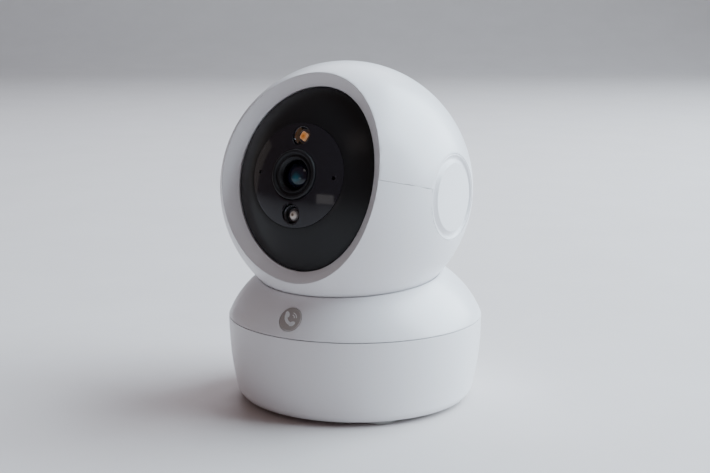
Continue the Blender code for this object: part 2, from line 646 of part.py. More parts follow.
tip = face_y(BARREL_R) + 0.6
bore, skirt = BARREL_R - 3.7, BARREL_R - 1.1
profile = [(bore, BOARD_FRONT + 0.3), (skirt, BOARD_FRONT + 0.3), (skirt, tip - 4.0), (BARREL_R, tip - 3.6)]
profile += [(BARREL_R, tip - 0.3), (BARREL_R - 0.3, tip), (BARREL_R - 1.2, tip)]
profile += [(bore + 1.0, tip - 1.4), (bore + 0.8, tip - 4.2), (bore, tip - 4.2)]
turned("lens_barrel", profile, DARK, True, count=32, axis=front, parent=head)
profile = [(bore + 0.6, tip - 4.0), (bore + 0.6, tip - 3.0), (0.9 * bore, tip - 2.3)]
profile += [(0.55 * bore, tip - 1.8), (0.2 * bore, tip - 1.6)]
turned("lens_glass", profile, ((0.01, 0.03, 0.04), 0.03), count=24, axis=front, parent=head)
coated = ((0.02, 0.05, 0.06), 0.05)
rod("lens_rear", bore - 0.3, BOARD_FRONT + 3.0, tip - 6.0, coated, 24, axis=front, parent=head)
half = 0.65 * bore
low, high = (-half, -half, BOARD_FRONT + 0.1), (half, half, BOARD_FRONT + 1.1)
block("image_sensor", low, high, DARK, axis=front, parent=head)

rings = [oval(FACE_A - 6.1, FACE_B - 7.0, depth, 36) for depth in (BOARD_FRONT - 1.2, BOARD_FRONT)]
camera_board = loft("camera_board", rings, GREEN, axis=front, parent=head)
for k, (x, z) in enumerate(POSTS):
    spot = {"axis": front, "parent": head, "at": (x, 0, z)}
    low, high = BOARD_FRONT - 2.0, BOARD_FRONT + 1.0
    cut(camera_board, rod(f"cut_board_hole_{k}", 0.95, low, high, None, 8, **spot))

for name, side, tint in (("light", 1, (0.75, 0.38, 0.10)), ("infrared", -1, (0.60, 0.58, 0.55))):
    z = side * LIGHT_UP
    floor = face_y(LIGHT_UP) - 2.6

    def on_window(x, y, lower=z):
        return face_y(hypot(x, y + lower))

    hole = rod(f"cut_{name}_hole", WELL_R + 0.2, 25.0, 36.0, None, 20, axis=front, parent=head, at=(0, 0, z))
    cut(window, hole)
    rings = [oval(WELL_R - 0.3, WELL_R - 0.3, BOARD_FRONT + GAP, 20)]
    rings += [oval(WELL_R, WELL_R, floor - 1.0, 20), oval(WELL_R, WELL_R, on_window, 20)]
    rings += [oval(WELL_R - 0.3, WELL_R - 0.3, on_window, 20), oval(WELL_R - 0.9, WELL_R - 0.9, floor, 20)]
    loft(f"{name}_well", rings, BLACK, axis=front, parent=head, at=(0, 0, z))
    if side > 0:
        half = 0.47 * WELL_R
        low, high = (-half, -half, floor + 0.05), (half, half, floor + 1.0)
        block(f"{name}_led", low, high, (tint, 0.35), axis=front, parent=head, at=(0, 0, z))
    else:
        bead = 0.53 * WELL_R
        profile = [(bead, floor + 0.05), (bead, floor + 0.6), (0.6 * bead, floor + 1.1)]
        turned(f"{name}_led", profile, (tint, 0.2), count=16, axis=front, parent=head, at=(0, 0, z))
for name, x in (("microphone", -PIN_X), ("light_sensor", PIN_X)):
    top = face_y(PIN_X) - 1.6
    size = (1.8, 1.5)
    low, high = (-size[0], -size[1], top - 1.1), (size[0], size[1], top)
    block(name, low, high, STEEL, axis=front, parent=head, at=(x, 0, 0))

# ---------------------------------------------------------------- tilt axis: caps, shafts, gear

CAP_FACE = sqrt(BALL_R**2 - CAP_R**2) + 0.1
for name, side in (("right", 1), ("left", -1)):
    edge_r = CAP_R - GAP
    flange_out = sqrt(SHELL_IN**2 - (CAP_R + 1.7) ** 2) - 0.5
    profile = [(SHAFT_R + PLAY, ARM_X + 0.6), (6.5, ARM_X + 0.6), (6.5, flange_out - 1.4)]
    profile += [(CAP_R + 1.5, flange_out - 1.4), (CAP_R + 1.5, flange_out), (edge_r, flange_out)]
    profile += [(edge_r, CAP_FACE - 0.3), (edge_r - 0.3, CAP_FACE), (edge_r - 1.0, CAP_FACE)]
    profile += [(edge_r - 1.15, CAP_FACE - 0.3), (edge_r - 1.45, CAP_FACE - 0.3)]
    profile += [(edge_r - 1.6, CAP_FACE), (SHAFT_R + PLAY, CAP_FACE)]
    # The bore is blind: a round plug closes its outer end.
    profile = [(radius, side * height) for radius, height in profile]
    cap = turned(f"side_cap_{name}", profile, WHITE, True, 28, axis=right, parent=head)
    ends = sorted((side * (CAP_FACE - 2.0), side * CAP_FACE))
    join(cap, rod(f"cut_cap_plug_{name}", SHAFT_R + 1.0, *ends, None, axis=right, parent=head))
    inner = ARM_X - 8.0 if side > 0 else ARM_X - 3.5
    ends = sorted((side * inner, side * (CAP_FACE - 2.3)))
    rod(f"tilt_shaft_{name}", SHAFT_R, *ends, STEEL, axis=right, parent=head)
gear_at = direction + TILT_REST
gear_ring(
    "tilt_gear", TILT_GEAR, gear_at, SHAFT_R + PLAY, *GEAR_X, NYLON, axis=right, parent=head
)

low, high = (-16.0, -5.0, BALL_R - 12.5), (16.0, 5.0, BALL_R - 11.5)
block("antenna", low, high, ((0.60, 0.38, 0.16), 0.35), parent=head)
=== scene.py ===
# %% [markdown]
# # A pan-and-tilt security camera
# The real object is a palm-sized home camera. A ball-shaped head of satin white plastic tilts in a
# cup, the cup turns on a round base, and a black oval face carries a lens and two small lights.
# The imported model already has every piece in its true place, but its round shapes are many-sided.
# So the outside pieces are modelled again here as smooth shapes, each on the body it belongs to,
# and the pieces inside keep their shapes and get proper finishes.

# %% Load the frame
from math import atan2, cos, pi, radians, sin, sqrt

import bpy
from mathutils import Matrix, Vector


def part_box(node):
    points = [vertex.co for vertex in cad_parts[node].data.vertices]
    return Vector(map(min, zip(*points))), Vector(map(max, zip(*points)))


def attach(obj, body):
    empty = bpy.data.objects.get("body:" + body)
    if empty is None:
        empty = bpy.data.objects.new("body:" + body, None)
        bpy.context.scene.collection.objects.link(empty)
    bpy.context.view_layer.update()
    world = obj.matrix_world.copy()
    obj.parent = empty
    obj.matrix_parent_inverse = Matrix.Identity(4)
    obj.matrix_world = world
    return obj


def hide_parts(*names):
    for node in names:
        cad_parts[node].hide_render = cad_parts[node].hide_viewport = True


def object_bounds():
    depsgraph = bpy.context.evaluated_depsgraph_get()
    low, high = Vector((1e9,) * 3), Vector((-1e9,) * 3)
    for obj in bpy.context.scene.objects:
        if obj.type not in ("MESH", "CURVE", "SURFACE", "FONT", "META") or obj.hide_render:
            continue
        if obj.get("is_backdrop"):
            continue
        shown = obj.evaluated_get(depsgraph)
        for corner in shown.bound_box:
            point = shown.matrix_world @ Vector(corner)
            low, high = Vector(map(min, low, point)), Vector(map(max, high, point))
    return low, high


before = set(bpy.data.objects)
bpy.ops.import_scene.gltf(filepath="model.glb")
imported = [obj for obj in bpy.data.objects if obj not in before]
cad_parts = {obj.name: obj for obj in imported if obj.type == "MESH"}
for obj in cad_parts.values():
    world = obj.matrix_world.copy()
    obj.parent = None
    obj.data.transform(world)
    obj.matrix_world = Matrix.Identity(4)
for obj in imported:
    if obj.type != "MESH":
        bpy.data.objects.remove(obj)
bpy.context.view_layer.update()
MM = 0.001

# %% [markdown]
# ## Main sizes
# A lesson reads better when each size has a name. All of them are in millimetres. The pan seam is
# the widest place of the base, the ball's centre lies on the tilt axis, and the head looks up a
# little at rest. The ball's top is printed beside the top of the imported shell's box.

# %% Sizes shared by several pieces
BASE_R = 44.0
SEAM_Z = 29.5
FOOT_H = 1.3
WALL = 2.2
BALL_R = 42.98
CENTRE = (0.0, -5.7, 74.0)
LOOK_UP = 14.6
CAP_R = 14.3
RIM_A, RIM_B = 29.8, 34.75
FACE_A, FACE_B = 25.6, 30.5
DOME_R, APEX = 46.0, 34.3
WINDOW_R = 17.1
BARREL_R = 8.1
LIGHT_UP = 12.85
WELL_R = 3.2
PIN_X = 14.0
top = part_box("ball_upper_shell")[1].z / MM
print("top of the ball", round(CENTRE[2] + BALL_R, 2), "packed", round(top, 2))

# %% [markdown]
# ## Working by hand, in code
# Almost every piece of this camera is turned, as on a lathe, so the first helper draws half of a
# cross-section point by point with Extrude and swings it round with Spin. A lathe helper is
# chosen over stacked cylinders because one outline gives clean quads and exact fillets.
# Operators act on whatever is selected, so each helper first deselects everything.

# %% Helpers: select, turn, soften, place


def pick(piece):
    """Makes this piece the only selected and the active one."""
    bpy.ops.object.select_all(action="DESELECT")
    piece.select_set(True)
    bpy.context.view_layer.objects.active = piece


def named(name):
    """Names the piece that was just added, and its mesh."""
    piece = bpy.context.object
    piece.name = name
    piece.data.name = name
    return piece


def edit_all():
    """Goes into edit mode with everything selected."""
    bpy.ops.object.mode_set(mode="EDIT")
    bpy.ops.mesh.select_all(action="SELECT")


def edit_done():
    bpy.ops.object.mode_set(mode="OBJECT")


def seal():
    """In edit mode: merges doubles and turns every face outwards."""
    bpy.ops.mesh.select_all(action="SELECT")
    bpy.ops.mesh.remove_doubles(threshold=2e-6)
    bpy.ops.mesh.normals_make_consistent(inside=False)


def point(name, at):
    """Starts a piece as a single point, placed in metres and left in edit mode."""
    bpy.ops.object.select_all(action="DESELECT")
    bpy.ops.mesh.primitive_plane_add(size=MM)
    piece = named(name)
    edit_all()
    bpy.ops.mesh.merge(type="CENTER")
    bpy.ops.transform.translate(value=at)
    return piece


def turn(name, outline, steps=128):
    """Spins an outline of (radius, height) points, in mm, round the Z axis."""
    piece = point(name, (outline[0][0] * MM, 0, outline[0][1] * MM))
    for (r0, z0), (r1, z1) in zip(outline, outline[1:]):
        step = ((r1 - r0) * MM, 0, (z1 - z0) * MM)
        bpy.ops.mesh.extrude_vertices_move(TRANSFORM_OT_translate={"value": step})
    bpy.ops.mesh.select_all(action="SELECT")
    bpy.ops.mesh.spin(steps=steps, angle=2 * pi, center=(0, 0, 0), axis=(0, 0, 1))
    seal()
    edit_done()
    return piece


def apply_all(piece):
    """Applies a piece's modifiers, first to last."""
    pick(piece)
    for modifier in list(piece.modifiers):
        bpy.ops.object.modifier_apply(modifier=modifier.name)


def soften(piece, width, segments=3, angle=40.0):
    """Rounds the sharp edges and shades the rest smooth."""
    edges = piece.modifiers.new("edges", "BEVEL")
    edges.width = width * MM
    edges.segments = segments
    edges.limit_method = "ANGLE"
    edges.angle_limit = radians(angle)
    edges.use_clamp_overlap = True
    apply_all(piece)
    smooth(piece)


def smooth(piece, angle=32.0):
    """Shades smooth across every edge that bends less than the angle."""
    pick(piece)
    bpy.ops.object.shade_smooth_by_angle(angle=radians(angle))


def bake(piece):
    """Moves a piece's place, turn and size into its mesh."""
    pick(piece)
    bpy.ops.object.transform_apply(location=True, rotation=True, scale=True)


def place(piece, at=(0, 0, 0), about_x=0.0, about_y=0.0):
    """Turns a piece by degrees, then moves it by millimetres."""
    piece.rotation_euler = (radians(about_x), radians(about_y), 0)
    piece.location = [value * MM for value in at]
    bake(piece)


def carve(piece, *tools, kind="DIFFERENCE"):
    """Cuts tools from a piece, or welds them to it, and throws the tools away."""
    for tool in tools:
        step = piece.modifiers.new("carve", "BOOLEAN")
        step.operation = kind
        step.solver = "EXACT"
        step.object = tool
    apply_all(piece)
    for tool in tools:
        bpy.data.objects.remove(tool, do_unlink=True)


def made(piece, body, *nodes):
    """Hands a finished piece to its body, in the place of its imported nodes."""
    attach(piece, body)
    if nodes:
        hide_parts(*nodes)
    print(piece.name, "faces", len(piece.data.polygons), "on", body)


def curve(rule, start, end, count):
    """Points (rule(z), z) at even heights."""
    return [(rule(start + (end - start) * k / count), start + (end - start) * k / count)
            for k in range(count + 1)]


print("helpers ready")

# %% [markdown]
# ## Finish: moulded satin plastic
# The housing is a hard white plastic from a mould whose steel was finely blasted. That leaves a
# faint grain, and the sheen wanders a little from place to place. A plain colour would look like
# computer plastic, so three noises do the work: a wide one shifts the colour by a hair, a middle
# one moves the roughness, and a very fine one gives the grain as bump.

# %% A moulded plastic


def shader_of(name):
    """A new material, its node tree and its shader."""
    look = bpy.data.materials.new(name)
    look.use_nodes = True
    return look, look.node_tree, look.node_tree.nodes["Principled BSDF"]


def constant(look, socket, value):
    """Sets a value that is the same all over on the shader's own socket."""
    look.node_tree.nodes["Principled BSDF"].inputs[socket].default_value = value


def noise(tree, scale, detail=3.0, rough=0.5, squeeze=None):
    """A noise on the piece's own coordinates. Scale is in bumps per metre."""
    where = tree.nodes.new("ShaderNodeTexCoord")
    pattern = tree.nodes.new("ShaderNodeTexNoise")
    pattern.inputs["Scale"].default_value = scale
    pattern.inputs["Detail"].default_value = detail
    pattern.inputs["Roughness"].default_value = rough
    source = where.outputs["Object"]
    if squeeze:
        mapping = tree.nodes.new("ShaderNodeMapping")
        mapping.inputs["Scale"].default_value = squeeze
        tree.links.new(source, mapping.inputs["Vector"])
        source = mapping.outputs["Vector"]
    tree.links.new(source, pattern.inputs["Vector"])
    return pattern.outputs["Fac"]


def ramp(tree, value, *stops):
    """A colour ramp from (place, colour) stops."""
    node = tree.nodes.new("ShaderNodeValToRGB")
    node.color_ramp.elements[0].position = stops[0][0]
    node.color_ramp.elements[0].color = (*stops[0][1], 1)
    node.color_ramp.elements[1].position = stops[-1][0]
    node.color_ramp.elements[1].color = (*stops[-1][1], 1)
    for position, colour in stops[1:-1]:
        node.color_ramp.elements.new(position).color = (*colour, 1)
    tree.links.new(value, node.inputs["Fac"])
    return node.outputs["Color"]


def spread(tree, value, low, high):
    """Maps a noise, which stays mostly between 0.3 and 0.7, to low and high."""
    node = tree.nodes.new("ShaderNodeMapRange")
    node.inputs["From Min"].default_value = 0.3
    node.inputs["From Max"].default_value = 0.7
    node.inputs["To Min"].default_value = low
    node.inputs["To Max"].default_value = high
    tree.links.new(value, node.inputs["Value"])
    return node.outputs["Result"]


def bump(tree, shader, height, strength, depth):
    """Feeds a noise to the shader as relief. Depth is in mm."""
    node = tree.nodes.new("ShaderNodeBump")
    node.inputs["Strength"].default_value = strength
    node.inputs["Distance"].default_value = depth * MM
    tree.links.new(height, node.inputs["Height"])
    tree.links.new(node.outputs["Normal"], shader.inputs["Normal"])


def plastic(name, pale, deep, gloss, grain=2600.0, depth=0.02, coat=0.0, strength=0.12):
    """Moulded plastic. Gloss is the (lowest, highest) roughness."""
    look, tree, shader = shader_of(name)
    tint = ramp(tree, noise(tree, 22.0), (0.3, deep), (0.7, pale))
    tree.links.new(tint, shader.inputs["Base Color"])
    tree.links.new(spread(tree, noise(tree, 160.0), *gloss), shader.inputs["Roughness"])
    bump(tree, shader, noise(tree, grain, 2.0), strength, depth)
    constant(look, "Coat Weight", coat)
    constant(look, "Coat Roughness", 0.2)
    return look


WHITE_PALE, WHITE_DEEP = (0.80, 0.787, 0.805), (0.775, 0.762, 0.780)
SATIN_WHITE = plastic("satin_white", WHITE_PALE, WHITE_DEEP, (0.30, 0.37), coat=0.12)
print("plastic", SATIN_WHITE.name, "with", len(SATIN_WHITE.node_tree.nodes), "nodes")

# %% [markdown]
# ## The bowl
# The base is a round bowl that narrows faster and faster towards its foot. Its wall is 2 mm
# thick, its top edge is the lower side of the pan seam, and its floor has three sound slits.
# A turned outline gives the wall in one go. The power opening and the slits are cut afterwards
# with rounded blocks, because round corners catch light where a square cut looks like paper.

# %% Turn and cut the bowl


def bowl_r(z, wall=0.0):
    """Radius of the bowl at a height, or of the inside of its wall."""
    share = (SEAM_Z - z) / (SEAM_Z - FOOT_H)
    return BASE_R - 3.6 * share**2.2 - wall


def rounded_block(name, size, at, radius, axis="Z"):
    """A block in mm whose edges along one axis are rounded."""
    bpy.ops.object.select_all(action="DESELECT")
    bpy.ops.mesh.primitive_cube_add(size=MM, location=[value * MM for value in at])
    piece = named(name)
    edit_all()
    bpy.ops.transform.resize(value=size)
    bpy.ops.mesh.select_all(action="DESELECT")
    edit_done()
    k = "XYZ".index(axis)
    for edge in piece.data.edges:
        start, end = (piece.data.vertices[i].co for i in edge.vertices)
        edge.select = abs((start - end).normalized()[k]) > 0.9
    bpy.ops.object.mode_set(mode="EDIT")
    bpy.ops.mesh.bevel(offset=radius * MM, segments=6, affect="EDGES")
    edit_done()
    bake(piece)
    return piece


HALF_SEAM = 0.15
DRAIN_R, FLOOR_TOP = 2.0, 3.3
PORT_Z = 14.0
SLIT_OUT, SLIT_WAY, SLIT_STEP = 22.0, radians(250), 5
top_z = SEAM_Z - HALF_SEAM
foot_r = bowl_r(FOOT_H)
outline = [(DRAIN_R, FOOT_H), (foot_r - 2.6, FOOT_H), (foot_r - 1.5, FOOT_H + 0.16)]
outline += [(foot_r - 0.65, FOOT_H + 0.62), (foot_r - 0.16, FOOT_H + 1.3)]
outline += curve(bowl_r, FOOT_H + 2.2, top_z, 40)
outline += [(bowl_r(top_z, WALL), top_z)]
outline += curve(lambda z: bowl_r(z, WALL), top_z - 6.0, 6.0, 10)
outline += [(bowl_r(FLOOR_TOP, WALL) - 1.0, FLOOR_TOP), (DRAIN_R, FLOOR_TOP), (DRAIN_R, FOOT_H)]
bowl = turn("bowl", outline, 160)
port_face = bowl_r(PORT_Z, WALL) - 0.5
carve(bowl, rounded_block("way", (11.6, 14.0, 7.6), (0, port_face + 3.0, PORT_Z), 1.6, "Y"))
for k in (-1, 0, 1):
    slit_at = (SLIT_OUT * cos(SLIT_WAY) + SLIT_STEP * k, SLIT_OUT * sin(SLIT_WAY), 2)
    carve(bowl, rounded_block("slit", (1.8, 12.0, 6.0), slit_at, 0.85))
soften(bowl, 0.16, 3)
bowl.data.materials.append(SATIN_WHITE)
made(bowl, "base", "base_housing")

# %% [markdown]
# ## The shoulder with its cup
# Above the seam the housing curves inwards like the top of an egg, and the ball sits in a round
# hollow in it. The rim between the two surfaces is softly rounded, and that rounding is what
# catches the light all round the ball. The egg is centred on the pan axis and the hollow on the
# ball, which stands further forward, so the rim rises towards the back and no lathe can make it.
# A flat grid is wrapped instead: each column is one section through the ball's upright axis.
# The egg is an ellipse with its own middle height, half width and half height.

# %% Sections of the shoulder
DOME_Z, DOME_W, DOME_H = SEAM_Z - 9.5, 45.8, 34.3
CUP_R = BALL_R + 0.10
LIP_R = 1.1
CUP_WALL = 1.8
COLUMNS = 192
BACK_STEPS, WALL_STEPS, SKIN_STEPS, LIP_STEPS, CUP_STEPS = 12, 8, 25, 8, 24


def dome_r(z, wall=0.0):
    """Radius of the egg at a height, or of a skin a wall's depth inside it."""
    share = (z - DOME_Z) / (DOME_H - wall)
    return (DOME_W - wall) * sqrt(max(1 - share * share, 0.0))


def under_ball(radius, lean, turned_by):
    """A point at a radius from the ball's centre, lean radians away from straight down."""
    out = radius * sin(lean)
    x, y = out * cos(turned_by), CENTRE[1] + out * sin(turned_by)
    return Vector((x, y, CENTRE[2] - radius * cos(lean)))


def meets_dome(radius, wall, turned_by):
    """The lean at which a sphere round the ball's centre meets the egg, a wall under its skin."""
    low, high = 0.3, 1.4
    for _ in range(40):
        lean = (low + high) / 2
        spot = under_ball(radius, lean, turned_by)
        inside = spot.xy.length < dome_r(spot.z, wall)
        low, high = (lean, high) if inside else (low, lean)
    return low


def section(turned_by):
    """One closed section, from the axis under the cup, round the wall, to the cup's floor."""
    low_z = SEAM_Z + HALF_SEAM
    back_r = CUP_R + CUP_WALL
    lean = sqrt(2 * (1 - (CENTRE[2] - low_z) / back_r))
    tip_lean = meets_dome(back_r, WALL, turned_by)
    points = [Vector((0, CENTRE[1], low_z))]
    for k in range(BACK_STEPS + 1):
        points.append(under_ball(back_r, lean + (tip_lean - lean) * k / BACK_STEPS, turned_by))
    tip = points[-1]
    side = atan2(tip.y, tip.x)
    for k in range(1, WALL_STEPS + 1):
        z = tip.z + (low_z - tip.z) * k / WALL_STEPS
        points.append(Vector((dome_r(z, WALL) * cos(side), dome_r(z, WALL) * sin(side), z)))
    cup_lean = meets_dome(CUP_R + LIP_R, LIP_R, turned_by)
    heart = under_ball(CUP_R + LIP_R, cup_lean, turned_by)
    slope = (heart.x / DOME_W**2, heart.y / DOME_W**2, (heart.z - DOME_Z) / DOME_H**2)
    out = Vector(slope).normalized()
    rim = heart + out * LIP_R
    side = atan2(rim.y, rim.x)
    for k in range(SKIN_STEPS):
        z = low_z + (rim.z - low_z) * k / SKIN_STEPS
        points.append(Vector((dome_r(z) * cos(side), dome_r(z) * sin(side), z)))
    inward = (Vector(CENTRE) - heart).normalized()
    for k in range(LIP_STEPS + 1):
        points.append(heart + out.slerp(inward, k / LIP_STEPS) * LIP_R)
    for k in range(1, CUP_STEPS + 1):
        points.append(under_ball(CUP_R, cup_lean * (1 - k / CUP_STEPS), turned_by))
    return points


def wrap(name, columns):
    """A grid whose points are laid along closed columns, and whose seam is then welded."""
    bpy.ops.object.select_all(action="DESELECT")
    around, along = len(columns), len(columns[0]) - 1
    bpy.ops.mesh.primitive_grid_add(x_subdivisions=along, y_subdivisions=around, size=MM)
    piece = named(name)
    for k, vertex in enumerate(piece.data.vertices):
        vertex.co = columns[k // (along + 1) % around][k % (along + 1)] * MM
    pick(piece)
    bpy.ops.object.mode_set(mode="EDIT")
    seal()
    edit_done()
    return piece


columns = [section(2 * pi * k / COLUMNS) for k in range(COLUMNS)]
shoulder = wrap("shoulder_cup", columns)
heights = [max(point.z for point in column) for column in columns]
print("rim runs from", round(min(heights), 1), "to", round(max(heights), 1), "mm high")

# %% [markdown]
# ### Openings in the shoulder
# The yoke's stem comes up through the cup's floor, and the call button has a round hole with a
# wider seat behind it, so that the key's flange holds it in.

# %% Cut the shoulder


def rod(name, radius, low, high, count=48):
    """A plain round tool along Z, in mm, for cutting and for small posts."""
    return turn(name, [(0, low), (radius, low), (radius, high), (0, high)], count)


carve(shoulder, rounded_block("stem_way", (13.2, 11.2, 22.0), (0, 10.3, 38.0), 0.8))
BUTTON_Z = 35.3
BUTTON_Y = dome_r(BUTTON_Z)
LEAN = atan2((BUTTON_Z - DOME_Z) / DOME_H**2, BUTTON_Y / DOME_W**2)
KEY_HOLE, KEY_SEAT = (4.2, -5.0, 3.0), (5.2, -8.0, -1.8)


def at_button(piece):
    """Moves a piece made along +Z, with +Y upright, to the button's place on the shoulder."""
    place(piece, (0, -BUTTON_Y, BUTTON_Z), about_x=90.0 - LEAN * 180 / pi)


for radius, low, high in (KEY_HOLE, KEY_SEAT):
    tool = rod("button_way", radius, low, high, 64)
    at_button(tool)
    carve(shoulder, tool)
soften(shoulder, 0.2, 3, 60.0)
shoulder.data.materials.append(SATIN_WHITE)
made(shoulder, "turret", "shoulder")
print("button stands at", round(BUTTON_Y, 2), "leaning", round(LEAN * 180 / pi, 1), "degrees")

# %% [markdown]
# ## The ball
# The head is a hollow ball of two half shells that meet in a fine line across the tilt axis. Both
# are open at the sides for the round caps and at the front for the oval face. A sphere is cut
# with Bisect at those planes, Solidify gives the wall, and the oval is cut through at the end.
# The pole of the sphere lies on the tilt axis, where the caps take it away.

# %% Cut and thicken the two half shells
SPLIT, HALF_SPLIT = 0.7, 0.04
CAP_X = sqrt(BALL_R**2 - CAP_R**2)


def sphere(name, radius, count):
    """A sphere at the origin with its poles on the X axis."""
    bpy.ops.object.select_all(action="DESELECT")
    bpy.ops.mesh.primitive_uv_sphere_add(segments=count, ring_count=count // 2, radius=radius * MM)
    piece = named(name)
    place(piece, about_y=90.0)
    return piece


def bisect(piece, spot, normal):
    """Cuts a piece in mm at a plane and drops what lies on the normal's side."""
    pick(piece)
    edit_all()
    bpy.ops.mesh.bisect(plane_co=[v * MM for v in spot], plane_no=normal, clear_outer=True)
    edit_done()


def level(piece):
    """From the head's own level frame to its place at rest."""
    place(piece, CENTRE, about_x=-LOOK_UP)


def facing(piece, at=(0, 0, 0)):
    """From lying on its back, with +Z as its front, to the head's place at rest."""
    place(piece, at)
    place(piece, CENTRE, about_x=90.0 - LOOK_UP)


def oval_tool(name, half_width, half_height, low, high):
    """A long oval plug that lies on its back like the face pieces."""
    bpy.ops.object.select_all(action="DESELECT")
    bpy.ops.mesh.primitive_cylinder_add(
        vertices=192, radius=MM, depth=(high - low) * MM, location=(0, 0, (low + high) / 2 * MM)
    )
    piece = named(name)
    edit_all()
    bpy.ops.transform.resize(value=(half_width, half_height, 1))
    edit_done()
    bake(piece)
    return piece


def half_shell(name, side):
    """The upper half of the ball's wall at side 1, or the lower half at side -1."""
    piece = sphere(name, BALL_R, 176)
    bisect(piece, (0, 0, SPLIT + HALF_SPLIT * side), (0, 0, -side))
    bisect(piece, (CAP_X, 0, 0), (1, 0, 0))
    bisect(piece, (-CAP_X, 0, 0), (-1, 0, 0))
    wall = piece.modifiers.new("wall", "SOLIDIFY")
    wall.thickness = WALL * MM
    wall.offset = -1.0
    apply_all(piece)
    tool = oval_tool("opening", RIM_A + 0.015, RIM_B + 0.015, 8, 60)
    place(tool, about_x=90.0)
    carve(piece, tool)
    return piece


upper = half_shell("ball_upper", 1)
level(upper)
soften(upper, 0.10, 2, 50.0)
lower = half_shell("ball_lower", -1)
print("half shells", len(upper.data.polygons), len(lower.data.polygons))

# %% [markdown]
# ### Openings in the lower shell
# The yoke that carries the ball comes in through a long slot behind and below, and a narrow
# opening for a memory card with a pinhole for its reset key lies low in front. All are cut while
# the ball is level, and the whole shell is tipped to its place at the end.

# %% Slot, card opening and reset hole
CARD_ANGLE = 22.0
STEM_FRONT, STEM_BACK, STEM_ROOM = 14.8, 31.0, 1.5
TILT_DOWN, TILT_UP = 29.6, 25.4
arc_start = radians(STEM_FRONT - STEM_ROOM - TILT_DOWN + LOOK_UP)
arc_end = radians(STEM_BACK + STEM_ROOM + TILT_UP + LOOK_UP)


def slot_tool():
    """A wedge of a thick disc round the tilt axis, made with Spin from one rectangle."""
    bpy.ops.object.select_all(action="DESELECT")
    bpy.ops.mesh.primitive_plane_add(size=MM)
    piece = named("slot")
    edit_all()
    bpy.ops.transform.resize(value=(14.4, 11.0, 1))
    bpy.ops.transform.translate(value=(0, 41.5 * MM, 0))
    edit_done()
    place(piece, about_x=-90.0 + arc_start * 180 / pi)
    pick(piece)
    edit_all()
    bpy.ops.mesh.spin(steps=40, angle=arc_start - arc_end, center=(0, 0, 0), axis=(1, 0, 0))
    seal()
    edit_done()
    return piece


carve(lower, slot_tool())
card = rounded_block("card", (12.4, 1.8, 7.0), (0, 0, -BALL_R + 1.5), 0.8)
place(card, about_x=-CARD_ANGLE)
reset = rod("reset", 1.5, -BALL_R - 2, -BALL_R + 5, 32)
place(reset, (10.5, 0, 0))
place(reset, about_x=-CARD_ANGLE)
carve(lower, card, reset)
level(lower)
soften(lower, 0.10, 2, 50.0)
for piece, node in ((upper, "ball_upper_shell"), (lower, "ball_lower_shell")):
    piece.data.materials.append(SATIN_WHITE)
    made(piece, "head", node)

# %% [markdown]
# ## Oval rings for the face
# The bezel and the black face are ovals whose edges lie on curved surfaces: on the ball outside,
# and on a shallow dome inside. One circle is added and each further ring is an Extrude with a
# Resize. Shrinkwrap then drops chosen rings straight onto a sphere, as one lays wire on a form.

# %% A helper that skins oval rings and drops them on domes


def form(name, radius, height):
    """A sphere to lay rings on. It is removed when the face is done."""
    bpy.ops.object.select_all(action="DESELECT")
    bpy.ops.mesh.primitive_uv_sphere_add(
        segments=256, ring_count=128, radius=radius * MM, location=(0, 0, height * MM)
    )
    piece = named(name)
    bpy.ops.object.shade_smooth()
    bake(piece)
    return piece


def ovals(name, rings, count=192):
    """Skins (half width, half height, height, form) rings, and closes the last on the first."""
    bpy.ops.object.select_all(action="DESELECT")
    bpy.ops.mesh.primitive_circle_add(vertices=count, radius=MM, fill_type="NOTHING")
    piece = named(name)
    groups = [piece.vertex_groups.new(name=f"ring_{k}") for k in range(len(rings))]
    edit_all()
    bpy.ops.transform.resize(value=(rings[0][0], rings[0][1], 1))
    bpy.ops.transform.translate(value=(0, 0, rings[0][2] * MM))
    for k, ring in enumerate(rings):
        if k:
            before = rings[k - 1]
            bpy.ops.mesh.extrude_edges_move(
                TRANSFORM_OT_translate={"value": (0, 0, (ring[2] - before[2]) * MM)}
            )
            bpy.ops.object.vertex_group_remove_from(use_all_groups=True)
            size = (ring[0] / before[0], ring[1] / before[1], 1)
            bpy.ops.transform.resize(value=size, center_override=(0, 0, ring[2] * MM))
        piece.vertex_groups.active_index = k
        bpy.ops.object.vertex_group_assign()
    bpy.ops.mesh.select_all(action="DESELECT")
    for k in (0, len(rings) - 1):
        piece.vertex_groups.active_index = k
        bpy.ops.object.vertex_group_select()
    bpy.ops.mesh.bridge_edge_loops()
    edit_done()
    for k, ring in enumerate(rings):
        if ring[3] is None:
            continue
        drop = piece.modifiers.new("drop", "SHRINKWRAP")
        drop.wrap_method = "PROJECT"
        drop.use_project_z = True
        drop.use_positive_direction = True
        drop.use_negative_direction = True
        drop.target = ring[3]
        drop.vertex_group = groups[k].name
    apply_all(piece)
    piece.vertex_groups.clear()
    bpy.ops.object.mode_set(mode="EDIT")
    seal()
    edit_done()
    return piece


def face_z(radius):
    """Height of the face's dome over the tilt axis."""
    return APEX - DOME_R + sqrt(DOME_R**2 - radius**2)


FACE_WALL = 1.6
ball_form = form("ball_form", BALL_R, 0)
dome = form("dome", DOME_R, APEX - DOME_R)
dome_up = form("dome_up", DOME_R, APEX - DOME_R + 0.5)
dome_down = form("dome_down", DOME_R, APEX - DOME_R - FACE_WALL)
dome_deep = form("dome_deep", DOME_R, APEX - DOME_R - 2.4)
print("forms ready, dome rises", round(APEX - face_z(FACE_B), 2), "mm over the face")

# %% [markdown]
# ## The white bezel
# A sloping white band frames the black oval. Its outer edge meets the ball flush, and its inner
# edge stands half a millimetre proud of the face. Four rings give its cross-section. The heights
# given here only lay them out in order, since each ring is then dropped on its form.

